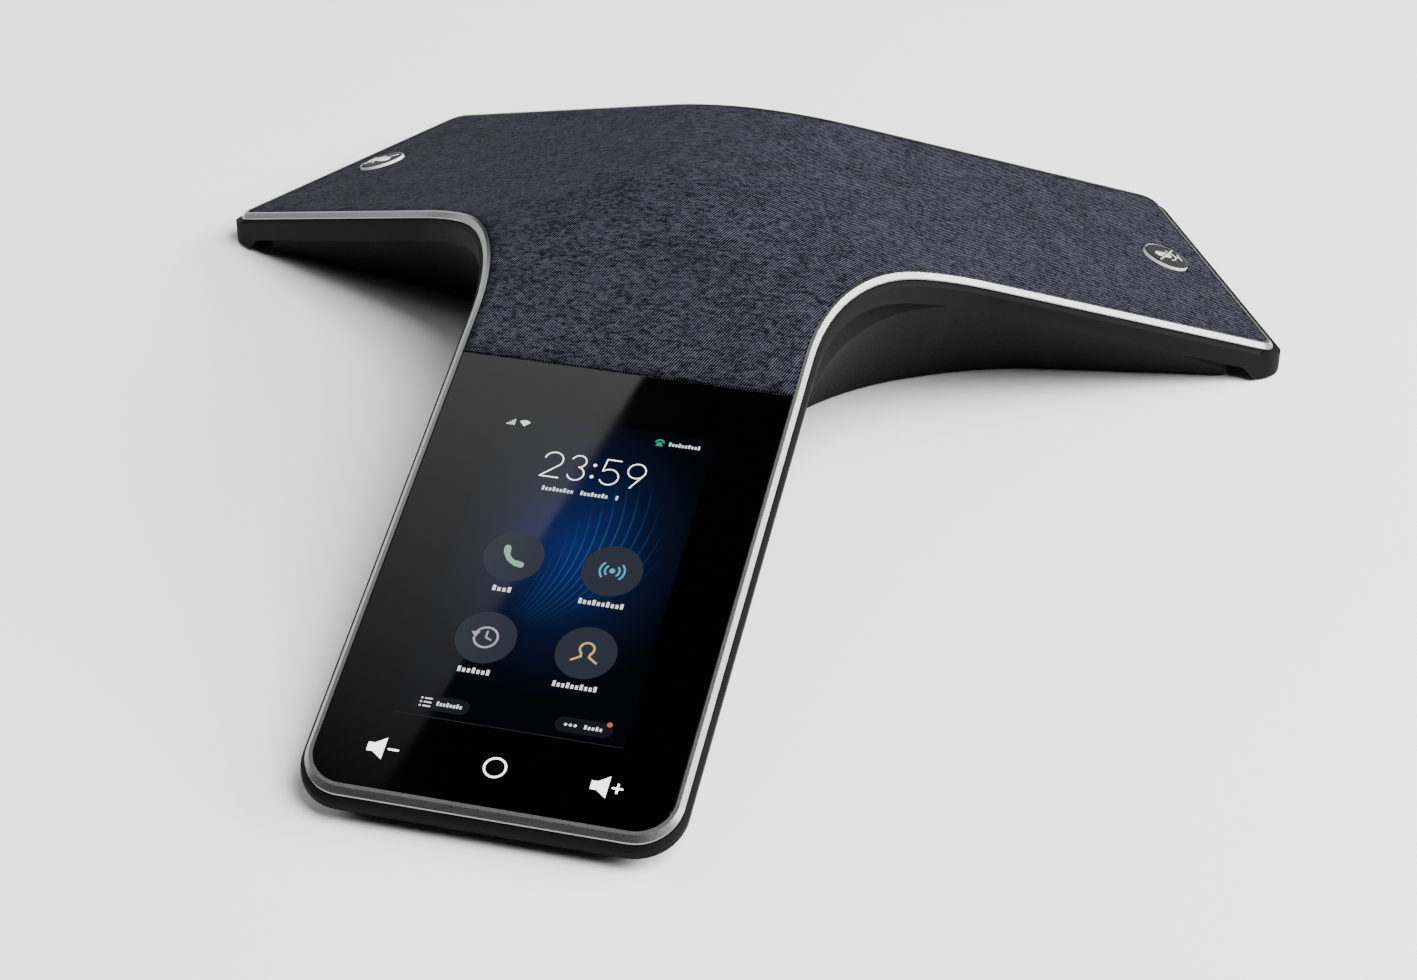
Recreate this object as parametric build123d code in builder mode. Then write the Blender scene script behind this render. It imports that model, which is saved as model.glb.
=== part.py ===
from build123d import *
import os
from math import cos, sin, radians, sqrt, tan

# Tabletop conference phone: three limbs in a Y, the front one carrying a touch display.
# Millimetres.  +Z up, +X right, the display limb points to -Y, the table is z = 0 and the
# origin lies under the middle of the bounding box.  The object is symmetric about x = 0,
# except for its microphone holes, which follow the three-fold pattern, and its sockets.

# ---- driving dimensions: plan ------------------------------------------------------------
HALF_WIDTH = 50.7          # half the width of every limb, at its widest line
LEG_LENGTH = 230.4         # hub axis to the end of the display limb
ARM_LENGTH = 172.9         # hub axis to the end of a speaker arm
ARM_ANGLE = 30.0           # each arm points this far behind the X axis
LEG_CORNER = 12.0          # plan radius of the display limb's corners
ARM_CORNER = 6.0           # plan radius of the arms' corners
FRONT_FILLET = 78.0        # plan radius between the display limb and an arm
REAR_FILLET = 62.0         # plan radius between the two arms

# ---- driving dimensions: top surface -----------------------------------------------------
TIP_HEIGHT = 11.0          # top edge of every limb's tip above the table
LEG_TILT = 17.65           # slope of the display limb
ARM_SLOPE = 21.8           # slope of the arms
RIDGE_RADIUS = 100.0       # rounding where the three slopes meet

# ---- layers, measured square to the top surface ------------------------------------------
TRIM_WIDTH = 2.2           # bright rim around the whole plan
TRIM_DEPTH = 1.7
TRIM_BEVEL = 1.35          # width of its outer bevel
BEVEL_DROP = 1.2
SHADOW_GAP = 0.4           # dark line under the rim
WALL_LEG_DEPTH = 4.9       # lower edge of the side wall on the display limb
WALL_ARM_DEPTH = 8.8       # lower edge of the side wall on the arms
WALL_THICKNESS = 4.6
WALL_PROUD = 1.2           # the wall's lower part stands this far outside the rim
LIP_DEPTH = 1.2            # thickness of the lip that closes the wall's lower edge
LIP_INSET = 15.0
FABRIC_THICKNESS = 0.8
GRILLE_TOP = 1.0
GRILLE_BOTTOM = 3.0
DECK_TOP = 3.3
DECK_BOTTOM = 4.8
FIT_GAP = 0.1

# ---- lower housing -----------------------------------------------------------------------
FLOOR_HEIGHT = 1.0         # underside of the lower housing above the table
SHELL = 2.4
BASE_HALF_WIDTH = 21.0     # half the footprint's width near the hub
BASE_BEND = 85.0           # each limb's footprint widens beyond this distance from the hub
BASE_ARM_LENGTH = 156.0
BASE_ARM_HALF_END = 46.5   # half the footprint's width at an arm's end
BASE_LEG_LENGTH = 226.0
BASE_LEG_HALF_END = 46.5
BASE_WAIST_FILLET = 83.0
BASE_ARM_FILLET = 120.0
BASE_LEG_FILLET = 180.0
BASE_LEG_CORNER = 9.0
BASE_FLARE = 34.0          # the lower housing widens upwards by this angle
FLARE_HEIGHT = 68.0
RIM_INSET = 1.6            # where it meets the side wall on the arms
RIM_INSET_LEG = 3.5

# ---- fasteners and pads ------------------------------------------------------------------
SCREW_RADIUS = 1.45
SCREW_HEAD_RADIUS = 2.7
SCREW_HEAD_DEPTH = 2.0
SCREW_SUNK = 0.4
BOSS_RADIUS = 4.0
BOARD_SCREW_RADIUS = 1.0
PAD_RECESS = 0.6

# ---- tip feet ----------------------------------------------------------------------------
FOOT_HEEL = 160.5          # where a foot leaves the wall's lower edge, from the hub axis
FOOT_INNER = 164.5
FOOT_OUTER = 173.2
NOSE = 2.8                 # the rounded end wall stands this far beyond the rim
NOSE_SHOULDER = 8.4
NOSE_TOE = 2.4
NOSE_RADIUS = 3.6
PAD_HEIGHT = 1.0

# ---- display -----------------------------------------------------------------------------
GLASS_THICKNESS = 1.8
GLASS_START = 1.05         # lower edge of the glass, measured up the slope from the tip's top edge
GLASS_END = 146.85
GLASS_CORNER = 9.8
SCREEN_MIDDLE = 75.7       # middle of the picture, measured the same way
MODULE_WIDTH = 68.0
MODULE_LENGTH = 116.0
MODULE_THICKNESS = 2.8
BRACKET_THICKNESS = 1.2
WINDOW_GAP = 1.0

# ---- mute keys ---------------------------------------------------------------------------
KEY_DISTANCE = 155.0       # hub axis to a key's centre
KEY_RADIUS = 7.15
KEY_PROUD = 0.9
KEY_TRAVEL = 0.5
KEY_SKIRT_DEPTH = 2.0
KEY_STEM_RADIUS = 2.0
KEY_STEM_DEPTH = 4.9
RING_RADIUS = 7.8
RING_WALL = 0.4

# ---- microphones -------------------------------------------------------------------------
MIC_MIDDLE = 153.05        # hub axis to the middle of a pair of holes
MIC_SPACING = 14.1
MIC_DEPTH = 5.6
MIC_HOLE = 0.65

# ---- loudspeaker -------------------------------------------------------------------------
SPEAKER_RADIUS = 43.0
FLANGE_TOP = 55.0
SPEAKER_SCREW_CIRCLE = 41.3
SPEAKER_SCREW_RADIUS = 0.9
BOX_FLOOR = 27.0
BOX_RADIUS = 47.0

# ---- boards and sockets ------------------------------------------------------------------
BOARD_Z = 10.0
BOARD_THICKNESS = 1.6
PROCESSOR_PLACE = (-9.0, 10.0)     # from the hub axis
PORT_FACE = 52.0           # hub axis to the face of the socket panel
PORT_HALF_WIDTH = 36.0
PORT_TOP = 27.0
PORT_FRAME = 4.0           # frame of the socket block around the panel
PORT_LIP = 1.2             # how far the frame stands beyond the panel
PANEL_THICKNESS = 1.2
ETHERNET_WIDTH = 16.0
ETHERNET_HEIGHT = 13.4
AUDIO_RADIUS = 1.8
AUDIO_DEPTH = 12.0

# ---- derived places ----------------------------------------------------------------------
NOSE_CORNER = ARM_CORNER + WALL_PROUD
REAR_REACH = (
    (ARM_LENGTH + NOSE - NOSE_CORNER) * sin(radians(ARM_ANGLE))
    + (HALF_WIDTH + WALL_PROUD - NOSE_CORNER) * cos(radians(ARM_ANGLE))
    + NOSE_CORNER
)
HUB_Y = (LEG_LENGTH + WALL_PROUD - REAR_REACH) / 2
CREST = TRIM_BEVEL         # the top edge stands this far inside the widest line
SKY = 90.0                 # safely above everything
SIDES = (1, -1)
os.makedirs("parts", exist_ok=True)


# ---- construction geometry ---------------------------------------------------------------
def arm_axis(side):
    """Horizontal direction of an arm, side +1 for the right arm and -1 for the left."""
    return Vector(side * cos(radians(ARM_ANGLE)), sin(radians(ARM_ANGLE)), 0)


def leg_plane(depth=0.0, along=0.0):
    """Plane in the display limb's slope, `depth` under it and `along` up it from the glass's
    lower edge; local x is +X, local y runs up the slope and local z points out."""
    tilt = radians(LEG_TILT)
    up_slope = Vector(0, cos(tilt), sin(tilt))
    normal = Vector(0, -sin(tilt), cos(tilt))
    foot = Vector(0, HUB_Y - LEG_LENGTH + CREST, TIP_HEIGHT)
    return Plane(origin=foot + up_slope * along - normal * depth, x_dir=(1, 0, 0), z_dir=normal)


def arm_plane(side, distance, depth=0.0):
    """Plane in an arm's slope at a horizontal `distance` from the hub axis, `depth` under it;
    local x runs outwards down the slope and local z points out."""
    slope = radians(ARM_SLOPE)
    axis = arm_axis(side)
    normal = axis * sin(slope) + Vector(0, 0, cos(slope))
    height = TIP_HEIGHT + (ARM_LENGTH - CREST - distance) * tan(slope)
    surface = Vector(0, HUB_Y, 0) + axis * distance + Vector(0, 0, height)
    return Plane(
        origin=surface - normal * depth,
        x_dir=axis * cos(slope) - Vector(0, 0, sin(slope)),
        z_dir=normal,
    )


def arm_side_plane(side):
    """Vertical plane through the hub and an arm's axis: local x outwards, local y up."""
    axis = arm_axis(side)
    return Plane(origin=(0, HUB_Y, 0), x_dir=axis, z_dir=axis.cross(Vector(0, 0, 1)))


def plan_face(inset, leg_inset=None, arm_length=None):
    """Sketch of the three-limbed plan, drawn `inset` mm inside its widest line."""
    leg_inset = inset if leg_inset is None else leg_inset
    arm = ARM_LENGTH - inset if arm_length is None else arm_length
    leg = LEG_LENGTH - leg_inset
    half = HALF_WIDTH - inset
    leg_half = HALF_WIDTH - leg_inset
    c, s = cos(radians(ARM_ANGLE)), sin(radians(ARM_ANGLE))
    waist = (leg_half * s - half) / c
    leg_corner = (leg_half, -leg)
    waist_corner = (leg_half, waist)
    tip_front = (arm * c + half * s, arm * s - half * c)
    tip_rear = (arm * c - half * s, arm * s + half * c)
    rear = (0, half / c)
    right = [leg_corner, waist_corner, tip_front, tip_rear]
    left = [(-x, y) for x, y in reversed(right)]

    def at(corners):
        spots = [Vector(sign * x, HUB_Y + y, 0) for x, y in corners for sign in SIDES]
        return [v for v in vertices() if any((Vector(v.X, v.Y, v.Z) - p).length < 0.01 for p in spots)]

    with BuildSketch() as plan:
        with BuildLine():
            Polyline(*[(x, HUB_Y + y) for x, y in right + [rear] + left], close=True)
        make_face()
        fillet(at([leg_corner]), LEG_CORNER - leg_inset)
        fillet(at([tip_front, tip_rear]), max(ARM_CORNER - inset, 1.0))
        fillet(at([waist_corner]), FRONT_FILLET + inset)
        fillet(at([rear]), REAR_FILLET + inset)
    return plan.sketch


def prism(inset, **options):
    """Upright solid on the plan, from the table to above everything."""
    with BuildPart() as solid:
        add(plan_face(inset, **options))
        extrude(amount=SKY)
    return solid.part


def roof(leg_depth, arm_depth=None):
    """Everything under the three slopes sunk by the given depths, with rounded ridges."""
    arm_depth = leg_depth if arm_depth is None else arm_depth
    with BuildPart() as mass:
        with Locations((0, 0, -20)):
            Box(420, 460, 220, align=(Align.CENTER, Align.CENTER, Align.MIN))
        slopes = [leg_plane(leg_depth), arm_plane(1, 100, arm_depth), arm_plane(-1, 100, arm_depth)]
        for slope in slopes:
            split(bisect_by=slope, keep=Keep.BOTTOM)
        peak = mass.vertices().sort_by(Axis.Z)[-1]
        ridges = [e for e in mass.edges() if any(v.distance_to(peak) < 0.01 for v in e.vertices())]
        fillet(ridges, RIDGE_RADIUS - max(leg_depth, arm_depth))
    return mass.part


def layer(top, bottom, inset, **options):
    """Sheet that follows the top surface between two depths, inside the plan."""
    with BuildPart() as sheet:
        add(prism(inset, **options))
        add(top, mode=Mode.INTERSECT)
        if bottom is not None:
            add(bottom, mode=Mode.SUBTRACT)
    return sheet.part


def save(piece, name):
    """Label a finished piece and write it to parts/."""
    piece.label = name
    export_step(piece, f"parts/{name}.step")


# ---- shared masses -----------------------------------------------------------------------
top_surface = roof(0)
under_trim = roof(TRIM_DEPTH)
deck_top = roof(DECK_TOP)
deck_bottom = roof(DECK_BOTTOM)
wall_top = roof(TRIM_DEPTH + SHADOW_GAP)
wall_bottom = roof(WALL_LEG_DEPTH, WALL_ARM_DEPTH)


# ---- rim, cloth and grille ---------------------------------------------------------------
def make_trim():
    """Bright rim: a flat land beside the cloth and a bevel down to the side wall."""
    with BuildPart() as trim:
        add(layer(top_surface, under_trim, 0))
        tops = trim.faces().filter_by(lambda f: f.normal_at(f.center()).Z > 0.3)
        wall_edges = trim.faces().filter_by(lambda f: abs(f.normal_at(f.center()).Z) < 0.01).edges()
        brink = [e for e in tops.edges() if e in wall_edges]
        chamfer(brink, length=BEVEL_DROP, length2=TRIM_BEVEL)
        add(prism(TRIM_WIDTH), mode=Mode.SUBTRACT)
    return trim.part


def glass_bay(margin):
    """Block over the display limb, ending `margin` beyond the glass, that clears the cloth."""
    length = GLASS_END + margin + 20
    with BuildPart() as bay:
        with BuildSketch(leg_plane(-5, along=GLASS_END + margin - length / 2)):
            Rectangle(2 * HALF_WIDTH + 20, length)
        extrude(amount=-SKY / 3)
    return bay.part


def key_wells(radius, bottom):
    """Round wells for the mute keys, from above the surface down to `bottom`."""
    with BuildPart() as wells:
        for side in SIDES:
            with BuildSketch(arm_plane(side, KEY_DISTANCE, bottom)):
                Circle(radius)
            extrude(amount=bottom + 5)
    return wells.part


def make_cloth():
    """Acoustic cloth over the hub, both arms and the top of the display limb."""
    with BuildPart() as cloth:
        add(layer(roof(FIT_GAP), roof(FIT_GAP + FABRIC_THICKNESS), TRIM_WIDTH + FIT_GAP))
        add(glass_bay(0.35), mode=Mode.SUBTRACT)
        add(key_wells(RING_RADIUS + FIT_GAP, DECK_TOP), mode=Mode.SUBTRACT)
    return cloth.part


def make_grille():
    """Moulded carrier under the cloth, perforated over the loudspeaker."""
    with BuildPart() as grille:
        add(layer(roof(GRILLE_TOP), roof(GRILLE_BOTTOM), TRIM_WIDTH + 2 * FIT_GAP))
        add(glass_bay(0.45), mode=Mode.SUBTRACT)
        add(key_wells(RING_RADIUS + FIT_GAP, DECK_TOP), mode=Mode.SUBTRACT)
        with BuildSketch(Plane.XY.offset(FLANGE_TOP)):
            with Locations((0, HUB_Y)):
                for ring in range(1, 5):
                    with PolarLocations(8.0 * ring, 6 * ring):
                        Circle(1.9)
        extrude(amount=SKY - FLANGE_TOP, mode=Mode.SUBTRACT)
    return grille.part


# ---- housings ----------------------------------------------------------------------------
def screw_spots():
    """(x, y) of the screws that hold the two housings together."""
    spots = [(side * 41.0, HUB_Y - 208.0) for side in SIDES]
    spots += [(side * 14.5, HUB_Y - 80.0) for side in SIDES]
    distance, off_axis = 122.0, 20.0
    for side in SIDES:
        axis = arm_axis(side)
        across = Vector(0, 0, 1).cross(axis)
        for sign in SIDES:
            spot = Vector(0, HUB_Y, 0) + axis * distance + across * (sign * off_axis)
            spots.append((spot.X, spot.Y))
    return spots


def foot_profile():
    """Side view of an arm's end: a rounded nose, a flat under-face and a slanted inner side."""
    end = ARM_LENGTH + NOSE
    slope = tan(radians(ARM_SLOPE))

    def wall_edge(distance):
        drop = WALL_ARM_DEPTH / cos(radians(ARM_SLOPE))
        return TIP_HEIGHT + (ARM_LENGTH - CREST - distance) * slope - drop

    inside = FOOT_HEEL - 6.0
    heel = (FOOT_HEEL, wall_edge(FOOT_HEEL))
    shoulder = (end, NOSE_SHOULDER)
    toe = (end, NOSE_TOE)
    with BuildSketch() as profile:
        with BuildLine():
            Polyline(
                (inside, wall_edge(inside) + 1.0),
                (inside, wall_edge(inside)),
                heel,
                (FOOT_INNER, PAD_HEIGHT),
                (FOOT_OUTER, PAD_HEIGHT),
                toe,
                shoulder,
                (ARM_LENGTH - 2.0, NOSE_SHOULDER + 2.0),
                (FOOT_INNER + 2.0, NOSE_SHOULDER + 2.0),
                (FOOT_INNER + 2.0, wall_edge(FOOT_INNER) + 1.0),
                close=True,
            )
        make_face()
        fillet(vertices().sort_by_distance((*heel, 0))[0], 2.6)
        fillet(vertices().sort_by_distance((*shoulder, 0))[0], NOSE_RADIUS)
        fillet(vertices().sort_by_distance((*toe, 0))[0], 1.5)
    return profile.sketch


def feet():
    """Full-width noses and feet at the ends of the two arms."""
    with BuildPart() as pair:
        for side in SIDES:
            with BuildSketch(arm_side_plane(side)):
                add(foot_profile())
            extrude(amount=HALF_WIDTH + WALL_PROUD, both=True)
        add(prism(-WALL_PROUD, arm_length=ARM_LENGTH + NOSE), mode=Mode.INTERSECT)
        add(wall_top, mode=Mode.INTERSECT)
    return pair.part


def interior():
    """Room between the deck and the lip, and the lip's own opening."""
    with BuildPart() as room:
        add(prism(WALL_THICKNESS))
        add(roof(WALL_LEG_DEPTH - LIP_DEPTH, WALL_ARM_DEPTH - LIP_DEPTH), mode=Mode.SUBTRACT)
        add(prism(LIP_INSET, leg_inset=WALL_THICKNESS, arm_length=BASE_ARM_LENGTH - 4))
        add(deck_bottom, mode=Mode.INTERSECT)
    return room.part


def mic_block(depth, height, front, thickness, length):
    """Upright blocks beside the microphone holes, `front` mm from each arm's axis."""
    with BuildPart() as blocks:
        for side in SIDES:
            with BuildSketch(arm_plane(side, MIC_MIDDLE, depth + height)):
                with Locations((0, front - thickness / 2)):
                    Rectangle(length, thickness)
            extrude(amount=height)
    return blocks.part


def mic_bores(radius, start, end):
    """Round passages behind the microphone holes, square to the side wall."""
    spacing = MIC_SPACING / cos(radians(ARM_SLOPE))
    with BuildPart() as bores:
        for side in SIDES:
            surface = arm_plane(side, MIC_MIDDLE, MIC_DEPTH)
            outward = surface.y_dir
            with BuildSketch(Plane(surface.origin + outward * start, surface.x_dir, outward)):
                with GridLocations(spacing, 1, 2, 1):
                    Circle(radius)
            extrude(amount=end - start)
    return bores.part


def make_upper_housing():
    """Side wall, deck under the grille, lip along the wall's lower edge and the tip feet."""
    with BuildPart() as above_deck:
        add(prism(TRIM_WIDTH + FIT_GAP))
        add(deck_top, mode=Mode.SUBTRACT)
    with BuildPart() as housing:
        add(layer(wall_top, wall_bottom, -WALL_PROUD))
        tops = housing.faces().filter_by(lambda f: f.normal_at(f.center()).Z > 0.3)
        wall_edges = housing.faces().filter_by(lambda f: abs(f.normal_at(f.center()).Z) < 0.01).edges()
        brink = [e for e in tops.edges() if e in wall_edges]
        chamfer(brink, length=WALL_PROUD - FIT_GAP)
        add(layer(roof(TRIM_DEPTH + 0.05), wall_top, 1.0))
        add(interior(), mode=Mode.SUBTRACT)
        add(feet())
        add(above_deck.part, mode=Mode.SUBTRACT)
        with BuildSketch(Plane.XY.offset(PORT_TOP)):
            with Locations((0, HUB_Y)):
                Circle(SPEAKER_RADIUS - 4.5)
        extrude(amount=SKY, mode=Mode.SUBTRACT)
        with BuildSketch(leg_plane(DECK_BOTTOM + 1, along=SCREEN_MIDDLE)):
            Rectangle(MODULE_WIDTH + 2 * WINDOW_GAP, MODULE_LENGTH + 2 * WINDOW_GAP)
        extrude(amount=DECK_BOTTOM, mode=Mode.SUBTRACT)
        for side in SIDES:
            with BuildSketch(arm_plane(side, KEY_DISTANCE, DECK_BOTTOM + 0.5)):
                Circle(KEY_STEM_RADIUS + 0.3)
            extrude(amount=DECK_BOTTOM, mode=Mode.SUBTRACT)
        add(mic_block(DECK_TOP - 1, 3.0, HALF_WIDTH - WALL_THICKNESS, 5.0, 26.0), mode=Mode.SUBTRACT)
        add(mic_bores(MIC_HOLE, 40, HALF_WIDTH + 1), mode=Mode.SUBTRACT)
        for x, y in screw_spots():
            with BuildSketch(Plane((x, y, 2 * PORT_TOP - SKY))):
                Circle(SCREW_RADIUS + 0.05)
            extrude(amount=2 * SKY, mode=Mode.SUBTRACT)
    return housing.part


def base_face(skin):
    """Sketch of the lower housing's footprint, `skin` mm inside its outline: three limbs,
    narrow at the hub, that widen towards their ends."""
    c, s = cos(radians(ARM_ANGLE)), sin(radians(ARM_ANGLE))
    width = BASE_HALF_WIDTH - skin
    arm_end = (BASE_ARM_LENGTH - skin, BASE_ARM_HALF_END - skin)
    leg_end = (BASE_LEG_HALF_END - skin, skin - BASE_LEG_LENGTH)
    leg_bend = (width, -BASE_BEND)
    waist = (width, -width * s / c)
    rear = (0, width / c)

    def on_arm(distance, side):
        return (distance * c + side * s, distance * s - side * c)

    front_bend, rear_bend = on_arm(BASE_BEND, width), on_arm(BASE_BEND, -width)
    tip_front, tip_rear = on_arm(*arm_end), on_arm(arm_end[0], -arm_end[1])
    right = [leg_end, leg_bend, waist, front_bend, tip_front, tip_rear, rear_bend]
    left = [(-x, y) for x, y in reversed(right)]

    def at(*corners):
        spots = [Vector(sign * x, HUB_Y + y, 0) for x, y in corners for sign in SIDES]
        return [v for v in vertices() if any((Vector(v.X, v.Y, v.Z) - p).length < 0.01 for p in spots)]

    with BuildSketch() as plan:
        with BuildLine():
            Polyline(*[(x, HUB_Y + y) for x, y in right + [rear] + left], close=True)
        make_face()
        fillet(at(waist, rear), BASE_WAIST_FILLET + skin)
        fillet(at(front_bend, rear_bend), BASE_ARM_FILLET + skin)
        fillet(at(leg_bend), BASE_LEG_FILLET + skin)
        fillet(at(leg_end), BASE_LEG_CORNER - skin)
    return plan.sketch


def lower_mass(skin):
    """The lower housing's outer form, or the space `skin` mm inside it."""
    with BuildPart() as mass:
        with BuildSketch(Plane.XY.offset(FLOOR_HEIGHT)):
            add(base_face(skin))
        extrude(amount=FLARE_HEIGHT, taper=-BASE_FLARE)
        with BuildSketch(Plane.XY.offset(FLOOR_HEIGHT)):
            with Locations((0, HUB_Y + PORT_FACE + PORT_LIP - skin)):
                width = 2 * (PORT_HALF_WIDTH + PORT_FRAME - skin)
                Rectangle(width, BASE_HALF_WIDTH + PORT_FRAME, align=(Align.CENTER, Align.MAX))
        extrude(amount=PORT_TOP + PORT_FRAME - FLOOR_HEIGHT - skin)
        add(
            prism(RIM_INSET + skin, leg_inset=RIM_INSET_LEG + skin, arm_length=BASE_ARM_LENGTH + 2 - skin),
            mode=Mode.INTERSECT,
        )
        if skin:
            with BuildSketch(Plane.XY):
                Rectangle(400, 400)
            extrude(amount=FLOOR_HEIGHT + skin, mode=Mode.SUBTRACT)
    return mass.part


def rear_block(half_width, near, top, bottom=0.0):
    """Block at the rear, from `near` mm behind the hub axis outwards."""
    with BuildPart() as block:
        with BuildSketch(Plane.XY.offset(bottom)):
            with Locations((0, HUB_Y + near)):
                Rectangle(2 * half_width, 60, align=(Align.CENTER, Align.MIN))
        extrude(amount=top - bottom)
    return block.part


def make_lower_housing():
    """Black tub that carries the boards, with screw bosses and a recess for the sockets."""
    with BuildPart() as cavity:
        add(lower_mass(SHELL))
        add(rear_block(PORT_HALF_WIDTH + SHELL, PORT_FACE - 3.2, PORT_TOP + SHELL), mode=Mode.SUBTRACT)
    with BuildPart() as bosses:
        for x, y in screw_spots():
            with BuildSketch(Plane((x, y, 0))):
                Circle(BOSS_RADIUS)
            extrude(amount=SKY)
        for x, y in board_spots():
            with BuildSketch(Plane((x, y, FLOOR_HEIGHT))):
                Circle(BOSS_RADIUS)
            extrude(amount=BOARD_Z - FLOOR_HEIGHT)
        add(lower_mass(0), mode=Mode.INTERSECT)
    with BuildPart() as housing:
        add(lower_mass(0))
        add(cavity.part, mode=Mode.SUBTRACT)
        add(bosses.part)
        add(wall_bottom, mode=Mode.INTERSECT)
        add(rear_block(PORT_HALF_WIDTH, PORT_FACE - PANEL_THICKNESS, PORT_TOP, FLOOR_HEIGHT + SHELL),
            mode=Mode.SUBTRACT)
        with BuildSketch(Plane.XZ.offset(-HUB_Y - PORT_FACE)):
            with Locations((0, (PORT_TOP + FLOOR_HEIGHT + SHELL) / 2)):
                Rectangle(2 * PORT_HALF_WIDTH - 6, PORT_TOP - FLOOR_HEIGHT - SHELL - 3)
        extrude(amount=10, mode=Mode.SUBTRACT)
        for x, y in screw_spots():
            with BuildSketch(Plane((x, y, 0))):
                Circle(SCREW_RADIUS + 0.25)
            extrude(amount=SKY, mode=Mode.SUBTRACT)
            with BuildSketch(Plane((x, y, 0))):
                Circle(SCREW_HEAD_RADIUS + 0.3)
            extrude(amount=FLOOR_HEIGHT + SCREW_HEAD_DEPTH, mode=Mode.SUBTRACT)
        for x, y in board_spots():
            with BuildSketch(Plane((x, y, FLOOR_HEIGHT + SHELL))):
                Circle(BOARD_SCREW_RADIUS)
            extrude(amount=BOARD_Z, mode=Mode.SUBTRACT)
        for pad in (front_pad_sketch(), rear_pad_sketch()):
            with BuildSketch(Plane.XY.offset(FLOOR_HEIGHT)):
                add(pad)
            extrude(amount=PAD_RECESS, mode=Mode.SUBTRACT)
    return housing.part


# ---- feet pads and housing screws --------------------------------------------------------
def front_pad_sketch():
    """Wide rubber strip under the display limb's tip."""
    with BuildSketch() as pad:
        with Locations((0, HUB_Y - 217.0)):
            SlotOverall(70, 9)
    return pad.sketch


def rear_pad_sketch():
    """Rubber strip under the hub, in front of the sockets."""
    with BuildSketch() as pad:
        with Locations((0, HUB_Y + 38.0)):
            SlotOverall(60, 9)
    return pad.sketch


def make_base_pad(outline):
    """Rubber strip set into the lower housing's underside."""
    with BuildPart() as pad:
        with BuildSketch():
            add(outline)
        extrude(amount=FLOOR_HEIGHT + PAD_RECESS)
        chamfer(pad.edges().group_by(Axis.Z)[0], length=0.3)
    return pad.part


def make_tip_pad(side):
    """Rubber strip under an arm's foot."""
    flat = arm_side_plane(side)
    middle = (FOOT_INNER + FOOT_OUTER) / 2 - 0.2
    origin = flat.from_local_coords((middle, 0, 0))
    with BuildPart() as pad:
        with BuildSketch(Plane(origin=origin, x_dir=flat.x_dir, z_dir=(0, 0, 1))):
            SlotOverall(66, 4.4, rotation=90)
        extrude(amount=PAD_HEIGHT)
        chamfer(pad.edges().group_by(Axis.Z)[0], length=0.3)
    return pad.part


def make_housing_screws():
    """Screws from below, through the lower housing's bosses into the deck."""
    with BuildPart() as screws:
        under = FLOOR_HEIGHT + SCREW_SUNK
        for x, y in screw_spots():
            with BuildSketch(Plane((x, y, under))):
                Circle(SCREW_HEAD_RADIUS)
            extrude(amount=SCREW_HEAD_DEPTH - SCREW_SUNK)
            with BuildSketch(Plane((x, y, under))):
                Circle(SCREW_RADIUS)
            extrude(amount=SKY)
            with BuildSketch(Plane((x, y, under))):
                RegularPolygon(1.3, 6)
            extrude(amount=1.0, mode=Mode.SUBTRACT)
        add(roof(DECK_TOP + 0.5), mode=Mode.INTERSECT)
    return screws.part


# ---- display -----------------------------------------------------------------------------
def make_glass():
    """Cover glass of the touch display, flush with the rim."""
    width = 2 * (HALF_WIDTH - TRIM_WIDTH - FIT_GAP)
    length = GLASS_END - GLASS_START
    with BuildPart() as glass:
        with BuildSketch(leg_plane(FIT_GAP, along=(GLASS_START + GLASS_END) / 2)):
            sheet = Rectangle(width, length)
            fillet(sheet.vertices().group_by(Axis.Y)[0], GLASS_CORNER)
        extrude(amount=-GLASS_THICKNESS)
        face = glass.faces().sort_by_distance(leg_plane(-SKY, along=SCREEN_MIDDLE).origin)[0]
        chamfer(face.edges(), length=0.25)
    return glass.part


def display_plate(depth, thickness, width, length, along=SCREEN_MIDDLE):
    """Flat rectangular piece lying in the display limb."""
    with BuildPart() as plate:
        with BuildSketch(leg_plane(depth, along=along)):
            Rectangle(width, length)
        extrude(amount=-thickness)
    return plate.part


def make_display_gasket():
    """Foam frame between the glass and the deck."""
    top = FIT_GAP + GLASS_THICKNESS
    with BuildPart() as gasket:
        add(display_plate(top, DECK_TOP - top, MODULE_WIDTH + 10, MODULE_LENGTH + 10))
        add(display_plate(0, DECK_TOP + 1, MODULE_WIDTH + 4, MODULE_LENGTH + 4), mode=Mode.SUBTRACT)
    return gasket.part


def make_display_panel():
    """Liquid crystal panel with its backlight, laminated under the glass."""
    return display_plate(FIT_GAP + GLASS_THICKNESS, MODULE_THICKNESS, MODULE_WIDTH, MODULE_LENGTH)


def make_display_bracket():
    """Pressed steel plate that holds the panel up, screwed to the deck."""
    with BuildPart() as bracket:
        add(display_plate(DECK_BOTTOM + 0.05, BRACKET_THICKNESS, MODULE_WIDTH + 5, MODULE_LENGTH + 10))
        with BuildSketch(leg_plane(DECK_BOTTOM - 1, along=SCREEN_MIDDLE)):
            with GridLocations(24, 36, 2, 2):
                SlotOverall(24, 8, rotation=90)
        extrude(amount=-5, mode=Mode.SUBTRACT)
    return bracket.part


def make_display_board():
    """Controller board of the touch display, under the bracket."""
    depth = DECK_BOTTOM + 0.05 + BRACKET_THICKNESS
    with BuildPart() as board:
        add(display_plate(depth, 1.0, 52, 30, along=SCREEN_MIDDLE + 30))
        add(display_plate(depth + 1.0, 1.4, 12, 12, along=SCREEN_MIDDLE + 26))
        add(display_plate(depth + 1.0, 1.8, 20, 4.5, along=SCREEN_MIDDLE + 41))
    return board.part


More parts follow.
